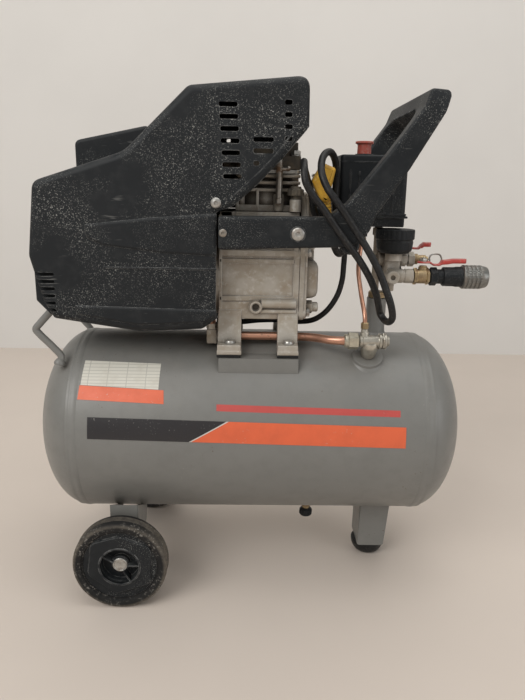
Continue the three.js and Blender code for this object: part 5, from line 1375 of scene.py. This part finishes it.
def hand_lever(name, pivot, length, body, slot_node, finish=None):
    """A stamped lever along +X with a dip beside the stem and turned-down edges on its grip."""
    x, y, z = pivot
    line = [(-8, 0), (7, 0), (14, -3.2), (20, -3.2), (26, 0.6), (length * 0.72, 3.2), (length, 3.4)]
    rings = []
    count = 60
    for i in range(count + 1):
        px = -8 + (length + 8) * i / count
        k = next(j for j in range(len(line) - 1) if px <= line[j + 1][0] + 1e-6)
        t = (px - line[k][0]) / (line[k + 1][0] - line[k][0])
        t = t * t * (3 - 2 * t)
        pz = line[k][1] * (1 - t) + line[k + 1][1] * t
        end = min(px + 8, length - px)
        half = 6 if px > 22 else 6 - 1.4 * math.sin(math.pi * max(0, min(1, (px - 6) / 16)))
        half *= math.sqrt(max(0.03, 1 - (1 - min(1, end / 5.5)) ** 2))
        sleeve = min(1, max(0, (px - 22) / 3))                  # the grip wears a thick dipped coat
        low, high = 0.4 - 1.6 * sleeve, 3.2 + 1.6 * sleeve
        ring = [(x + px, y + s * half, z + 0.6 + pz * (1 - 0.35 * sleeve) + low + (high - low) * lift)
                for s, lift in
                ((-1, 0.35), (-1, 0.65), (-0.86, 0.92), (-0.5, 1), (0.5, 1), (0.86, 0.92), (1, 0.65),
                 (1, 0.35), (0.86, 0.08),
                 (0.5, 0), (-0.5, 0), (-0.86, 0.08))]
        rings.append(ring)
    piece(name, loft(rings), finish or RED, body, slot_node, angle=40)
    nut = together(hexagon((x, y, z + 3.4), (x, y, z + 7), 8.8, 10, 0.6),
                   rod((x, y, z + 6.5), (x, y, z + 8.2), 2.4, 24, 0.5),
                   lathe([(0, 0), (5, 0), (5, 0.8), (0, 0.8)], (x, y, z + 3.2), (0, 0, 1), 32))
    piece(name + "_nut", nut, STEEL, body, angle=30)


def outlets():
    y, z = -25, 420
    x0 = 208.3
    valve = together(hexagon((x0, y, z), (x0 + 5.4, y, z), 19, 0),
                     lathe([(0, 0), (8.6, 0), (9.5, 1), (9.5, 12.4), (8.6, 13.4), (0, 13.4)],
                           (x0 + 4, y, z), (1, 0, 0), 44),
                     hexagon((x0 + 16.6, y, z), (229.4, y, z), 19, 0),
                     lathe([(0, 0), (6, 0), (6, 12), (5, 12.6), (5, 13.8), (0, 13.8)], (221, y, z),
                           (0, 0, 1), 32))
    piece("hose_valve", valve, BRASS, stands_for="ball_valve_front", angle=32)
    hand_lever("hose_valve_lever", (221, -25, 436), 56, "front_lever", "valve_lever_front")
    body = together(hexagon((229.8, y, z), (240, y, z), 21, 0, 1.2),
                    lathe([(5.6, 22), (5.6, 60.5), (8.8, 60.5), (9.5, 59.8), (9.5, -1), (0, -1), (0, 22),
                           (5.6, 22)], (240, y, z), (1, 0, 0), 56))
    piece("coupler_core", body, CLEAN_BLACK, stands_for="coupler_body", angle=34)
    profile = [(9.8, 0), (11.8, 0), (12.4, 0.8), (12.5, 14), (13, 16.8), (13.2, 17.4), (13.2, 25),
               (9.8, 25), (9.8, 0)]
    flats = [(p[0], y + (p[1] - y) * k, z + (p[2] - z) * k) for p, k in
             ((q, 0.94 if 1 < q[0] - 247.5 < 16 and math.sin(8 * math.atan2(q[2] - z, q[1] - y)) > 0.2
               else 1.0)
              for q in lathe(profile, (247.5, y, z), (1, 0, 0), 120)[0])]
    piece("coupler_collar", (flats, lathe(profile, (247.5, y, z), (1, 0, 0), 120)[1]), CLEAN_BLACK,
          "sleeve",
          "coupler_sleeve", angle=36)
    profile = [(9.8, 24), (13.8, 24.4), (15.2, 25.6), (15.5, 26.4)]
    for i in range(4):
        a = 28 + i * 5.4
        profile += [(15.5, a), (14.7, a + 0.8), (14.7, a + 1.8), (15.5, a + 2.6)]
    profile += [(15.5, 49.4), (15, 50.4), (13.6, 56.4), (12.8, 57.5), (9.8, 57.5), (9.8, 24)]
    points, faces = lathe(profile, (247.5, y, z), (1, 0, 0), 120)
    knurled = []
    for p in points:
        reach, a = math.hypot(p[1] - y, p[2] - z), math.atan2(p[2] - z, p[1] - y)
        k = 1 - 0.4 * (math.sin(a * 30) > 0) / reach if 27.5 < p[0] - 247.5 < 49.6 else 1
        knurled.append((p[0], y + (p[1] - y) * k, z + (p[2] - z) * k))
    worn_zinc = plated_steel("worn_zinc", (0.25, 0.25, 0.235), 0.3)
    piece("coupler_knurled_ring", (knurled, faces), worn_zinc, "sleeve", angle=36)
    # the far outlet points away from the pump's front
    x, z = 204, 440
    rear = together(hexagon((x, 7.8, z), (x, 12.8, z), 16, 0),
                    lathe([(0, 0), (7.2, 0), (8, 1), (8, 20), (7.2, 21), (0, 21)], (x, 11.8, z), (0, 1, 0),
                          40),
                    hexagon((x, 31.8, z), (x, 36, z), 15.2, 0),
                    lathe([(4, 0), (6.4, 0), (7.2, 0.8), (6.2, 1.6), (7.2, 2.4), (6.2, 3.2), (6.6, 3.9),
                           (4, 3.9), (4, 0)], (x, 35.9, z), (0, 1, 0), 36),
                    lathe([(0, 0), (4.5, 0), (4.5, 11.4), (3.8, 12.3), (0, 12.3)], (x, 20, z), (0, 0, 1),
                          32))
    piece("far_valve", rear, BRASS, stands_for="ball_valve_rear", angle=32)
    hand_lever("far_valve_lever", (204, 20, 452.8), 38, "rear_lever", "valve_lever_rear")


def dial_face():
    """White with a ring of marks and no figures, drawn round the dial's middle."""
    f = Finish("dial_face", (0.72, 0.71, 0.66), 0.4)
    centre = place((187, 0, 421))
    axes = f.node("SeparateXYZ", {"Vector": f.coords}).outputs
    dx, dz = f.math("SUBTRACT", axes["X"], centre.x), f.math("SUBTRACT", axes["Z"], centre.z)
    reach = f.math("SQRT", f.math("ADD", f.times(dx, dx), f.times(dz, dz)))
    turn = f.math("ARCTAN2", dz, dx)
    ticks = f.ramp(f.math("SINE", f.math("MULTIPLY", turn, 40.0)), 0.55, 0.75)
    ring = f.times(f.ramp(reach, 0.0108, 0.0109), f.ramp(reach, 0.0129, 0.0128))
    f.layer(f.times(ticks, ring), (0.03, 0.03, 0.03))
    f.layer(f.times(f.spots(200, 0.5, 0.7), 0.4), (0.5, 0.47, 0.4), 0.6)
    return f.done()


def gauge_and_safety_valve():
    profile = [(0, 0), (6, 0), (6, 5), (14.4, 5.6), (15.6, 6.4), (16.5, 8), (16.5, 20.4), (16.1, 21.4),
               (15.6, 22), (14.6, 22), (14.6, 14), (0, 14)]
    piece("gauge_body", lathe(profile, (187, 8.3, 421), (0, 1, 0), 72), CLEAN_BLACK,
          stands_for="gauge_case", angle=34)
    face = lathe([(0, 13.9), (14.5, 13.9), (14.5, 14.3), (0, 14.3)], (187, 8.3, 421), (0, 1, 0), 64)
    piece("gauge_dial", face, dial_face(), angle=30)
    pin = lathe([(0, 0), (2.2, 0), (2.2, 1.8), (1.6, 2.4), (0, 2.4)], (187, 22.8, 421), (0, 1, 0), 28)
    hand = prism([(184.6, 421.8), (186.2, 423.4), (195, 413.6), (194.6, 413.1)], "y", 23.4, 24.2)
    piece("gauge_pointer", together(pin, hand), plain_inner("pointer_paint", (0.05, 0.03, 0.03), 0.4),
          "pointer", "gauge_needle", angle=30)
    valve = lathe([(1.7, 6), (1.7, 19), (3.2, 19), (3.6, 18.6), (3.6, 17), (5.4, 16), (5.4, 12.4),
                   (4.8, 12), (5.4, 11.6), (5.4, 6), (6.2, 5.4), (7, 5), (7, 0), (0, 0), (0, 6), (1.7, 6)],
                  (213.3, -3, 440), (1, 0, 0), 36)
    piece("safety_valve_body", valve, BRASS, stands_for="safety_valve", angle=30)
    base = 213.3 + 20
    loop = swept([(base + 1, -3, 440), (base + 3, -3, 445), (base + 8, -3, 447), (base + 15, -3, 446),
                  (base + 18, -3, 440),
                  (base + 15, -3, 434), (base + 8, -3, 433), (base + 3, -3, 435), (base + 2, -3, 439.5)],
                  1.1, 14, 0.8)
    stem = rod((base - 4, -3, 440), (base + 3, -3, 440), 1.2, 20, 0.3)
    piece("safety_pull_ring", together(loop, stem), STEEL, "relief_ring", "safety_ring", angle=40)


# ------------------------------------------------------------------ pipes, cable and stay
def pipes():
    centre = boss(30)
    _, y, z = centre
    axis = boss(1) - boss(0)
    neck = lathe([(0, -8), (7.2, -8), (7.2, 5), (8.6, 5.6), (9.4, 9), (10.4, 16), (11.5, 23), (11.4, 26),
                  (10.6, 30), (9, 32), (0, 32)], boss(0), axis, 48)
    profile = [(0, 0), (6.4, 0), (7.6, 1.2), (7.6, 4), (7.1, 4.6), (7.6, 5.2), (7.6, 23.6), (8.2, 24.6),
               (10.2, 25.4), (10.2, 27.6), (8.8, 28.4), (8.8, 31), (10.2, 31.8),
               (10.2, 33.6), (9.6, 34.4), (6.5, 35), (6.5, 37.4), (5.8, 38), (0, 38)]
    bar = lathe(profile, (133, y, z), (1, 0, 0), 56)
    cap = hexagon((162, y, z), (165, y, z), 18.5, 5)
    spout = together(lathe([(0, 0), (5.5, 0), (5.5, 11), (4.4, 12), (4.4, 15), (0, 15)], (140, y, z),
                           (0, 2, 15), 36))
    piece("check_valve_body", together(neck, bar, cap, spout),
          plated_steel("nickel_plate", (0.56, 0.53, 0.46), 0.25), stands_for="check_valve",
          angle=34)
    head_z = 559.6
    run = swept([(127, y, z), (112, y, z), (97, y + 6, z - 0.5), (80, -56, 342.5), (66, -46.5, 341.2),
                 (50, -44, 341), (-53, -44, 341)], 5.4, 28, 1.5)
    climb = swept([(-53, -44, 348), (-53.5, -45, 360), (-57, -58, 376), (-62, -70, 400), (-64, -72, 470),
                   (-62, -60, 530), (-58, -40, 556),
                   (-50, -20, head_z), (-40, -18, head_z), (-21, -18, head_z)], 5.4, 28, 1.5)
    piece("copper_delivery_pipe", together(run, climb), COPPER, stands_for="discharge_pipe",
          angle=50)
    nut = together(hexagon((119, y, z), (132.6, y, z), 18.8, 0, 1.2),
                   lathe([(5.3, 0), (7.2, 0), (8.6, 1.4), (8.6, 5), (5.3, 5), (5.3, 0)], (114.4, y, z),
                         (1, 0, 0), 40))
    bright = plated_steel("bright_nut", (0.62, 0.58, 0.47), 0.2)
    piece("pipe_nut", nut, bright, angle=30)
    elbow = together(soft_box((-60, -51, 331), (-46, -37, 351), 2.5, 2),
                     hexagon((-53, -44, 350), (-53, -44, 358), 13.4, 0),
                     lathe([(5.3, 0), (7, 0), (7, 4), (6.4, 5), (5.3, 5), (5.3, 0)], (-47, -44, 341),
                           (1, 0, 0), 36))
    piece("pipe_elbow", elbow, ALLOY, angle=34)
    tube = swept([(138, -30, 469.7), (137, -30, 455), (134.5, -36, 430), (137, -52, 400),
                  (139.5, y + 3, 374), (140, y + 2.4, z + 16)], 2.8, 20, 1.2)
    nuts = together(hexagon((138, -30, 462), (138, -30, 469.6), 9.6, 10, 0.6),
                    lathe([(0, 0), (4.4, 0), (5, 0.8), (5, 7), (3.6, 8.4), (0, 8.4)],
                          (140, y + 2.1, z + 15.4), (0, 0.6, 9), 6))
    piece("unloader_copper", tube, COPPER, stands_for="unloader_tube", angle=50)
    piece("unloader_nuts", nuts, BRASS, angle=30)
    half = [(-243, -77, 309), (-241, -75, 318), (-250, -75, 330), (-266, -75, 347), (-270, -75, 353),
            (-264, -75, 361),
            (-252, -75, 374), (-242, -74, 385), (-238, -66, 391), (-237, -50, 392)]
    route = half + [(-237, 0, 392)] + [(px, -py, pz) for px, py, pz in reversed(half)]
    welds = both(lathe([(0, 0), (6.6, 0.6), (7.2, 3), (6, 5.6), (4.4, 8), (0, 8)], (-243.4, -77.4, 307.5),
                       (0.2, 0.15, 1), 32))
    piece("stay_bar", together(swept(route, 4.5, 24, 1.5), welds), TANK_PAINT,
          stands_for="stay_rod", angle=50)
    cable = swept([(119, -14, 469.7), (119, -15, 452), (118.5, -15, 432), (117.5, -15, 412),
                   (112, -15, 391), (99, -14, 370),
                   (83, -10, 357), (64, -2, 352), (40, 2, 353), (10, 4, 352), (-20, 4, 349), (-50, 4, 351)],
                   3.7, 20, 1.5)
    piece("motor_cable_sheath", cable, CABLE, stands_for="motor_cable", angle=50)


# ------------------------------------------------------------------ what is inside
def fan_and_motor():
    z = CRANK_Z
    x0, x1 = -226, -204
    hub = lathe([(7.3, 0), (14.6, 0), (16, 1.4), (16, 22), (7.3, 22), (7.3, 0)], (x0, 0, z), (1, 0, 0), 48)
    disc = lathe([(12, 19), (49.4, 19), (50, 19.6), (50, 22), (12, 22), (12, 19)], (x0, 0, z), (1, 0, 0),
                 72)
    blades = []
    for i in range(8):
        a = i * math.pi / 4
        blade = slab([(14.4, x0 + 3, 2), (48, x0 + 1, 3), (48, x1 - 2, 1), (14.4, x1 - 2, 1)], "z", -1, 1,
                     0.4, 3)
        points = [(p[1], p[0] * math.cos(a) - p[2] * math.sin(a),
                   z + p[0] * math.sin(a) + p[2] * math.cos(a)) for p in blade[0]]
        blades.append((points, blade[1]))
    piece("cooling_fan", together(hub, disc, *blades),
          plain_inner("fan_plastic", (0.03, 0.032, 0.034), 0.5), "shaft", "fan", angle=34)
    laminations = [(38, 16)]
    for i in range(31):
        a = 16 + i * 2
        laminations += [(57, a), (57, a + 1.5), (56.6, a + 1.6), (56.6, a + 1.9)]
    laminations += [(57, 78), (38, 78), (38, 16)]
    x0 = -168
    piece("stator_stack", lathe(laminations, (x0, 0, z), (1, 0, 0), 96),
          plain_inner("stator_iron", (0.20, 0.19, 0.18), 0.5, 0.7),
          stands_for="stator", angle=40)
    turns = []
    for side, start in ((-1, x0), (1, x0 + 78)):
        turns.append(lathe([(38.2, 0), (40, 0), (44, 1), (48, 2.4), (50, 6), (50, 16), (38.2, 16),
                            (38.2, 0)] if side < 0 else
                           [(38.2, 0), (50, 0), (50, 10), (48, 13.6), (44, 15), (40, 16), (38.2, 16),
                            (38.2, 0)], (start, 0, z), (1, 0, 0), 72))
    winding = Finish("copper_winding", (0.42, 0.16, 0.06), 0.35, metallic=0.6)
    winding.layer(winding.spots(260, 0.4, 0.6, vector=winding.stretched(1, 0.2, 0.2)), (0.22, 0.08, 0.035),
                  0.5)
    winding.bump(winding.noise(700, 2), 0.3)
    piece("stator_windings", together(*turns), winding.done(), angle=40)


def inner_finishes():
    """Procedural finishes on the CAD shapes that are right as they are."""
    iron = plain_inner("machined_iron", (0.34, 0.33, 0.31), 0.35, 0.9)
    machined = plain_inner("machined_alloy", (0.50, 0.49, 0.47), 0.35, 0.8)
    race = plain_inner("bearing_steel", (0.55, 0.55, 0.54), 0.25, 1.0)
    core = plain_inner("rotor_iron", (0.24, 0.23, 0.22), 0.45, 0.8)
    bell = plain_inner("end_bell_alloy", (0.42, 0.40, 0.37), 0.5, 0.6)
    for node, finish in (("piston", machined), ("connecting_rod", machined), ("crankshaft", iron),
                         ("main_bearing", race),
                         ("rotor", core), ("end_bell", bell)):
        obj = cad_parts[node]
        obj.data.materials.clear()
        obj.data.materials.append(finish)


switch_box()
regulator()
outlets()
gauge_and_safety_valve()
pipes()
fan_and_motor()
inner_finishes()

# ------------------------------------------------------------------ floor, wall and light
def plain(name, colour, roughness=0.8):
    f = Finish(name, colour, roughness)
    f.layer(f.spots(3, 0.35, 0.7), tuple(c * 0.96 for c in colour))
    return f.done()


def backdrop():
    """A pale floor that meets a pale wall behind the object."""
    floor_corners = [(-FLOOR_HALF, FLOOR_FRONT, 0), (FLOOR_HALF, FLOOR_FRONT, 0),
                     (FLOOR_HALF, WALL_Y, 0), (-FLOOR_HALF, WALL_Y, 0)]
    wall_corners = [(-FLOOR_HALF, WALL_Y, 0), (FLOOR_HALF, WALL_Y, 0),
                    (FLOOR_HALF, WALL_Y, WALL_TOP), (-FLOOR_HALF, WALL_Y, WALL_TOP)]
    floor = new_object("floor", to_mesh("floor", (floor_corners, [(0, 1, 2, 3)])))
    wall = new_object("wall", to_mesh("wall", (wall_corners, [(0, 1, 2, 3)])))
    floor.data.materials.append(plain("pale_floor", (0.64, 0.565, 0.50), 0.5))
    wall.data.materials.append(plain("pale_wall", (0.72, 0.70, 0.67), 0.9))


def area_light(name, position, target, size, power, colour=(1, 1, 1)):
    data = bpy.data.lights.new(name, "AREA")
    data.shape, data.size, data.size_y = "RECTANGLE", size[0], size[1]
    data.energy, data.color = power, colour
    light = bpy.data.objects.new(name, data)
    bpy.context.scene.collection.objects.link(light)
    light.location = position
    light.rotation_mode = "QUATERNION"
    light.rotation_quaternion = (Vector(target) - Vector(position)).to_track_quat("-Z", "Y")


def lighting():
    world = bpy.data.worlds.new("soft_room")
    bpy.context.scene.world = world
    world.use_nodes = True
    world.node_tree.nodes["Background"].inputs["Color"].default_value = (1.0, 0.985, 0.96, 1)
    world.node_tree.nodes["Background"].inputs["Strength"].default_value = 0.40
    area_light("key", (-1.6, -1.9, 2.1), (0, 0, 0.3), (1.8, 1.4), 44, (1.0, 0.985, 0.96))
    area_light("top", (0.3, -0.2, 2.6), (0, 0, 0.2), (2.4, 2.0), 25, (1.0, 0.99, 0.97))
    area_light("fill", (2.0, -1.4, 0.9), (0, 0, 0.3), (1.6, 1.2), 10, (0.97, 0.98, 1.0))


backdrop()
lighting()
scene = bpy.context.scene
scene.view_settings.view_transform = "Standard"
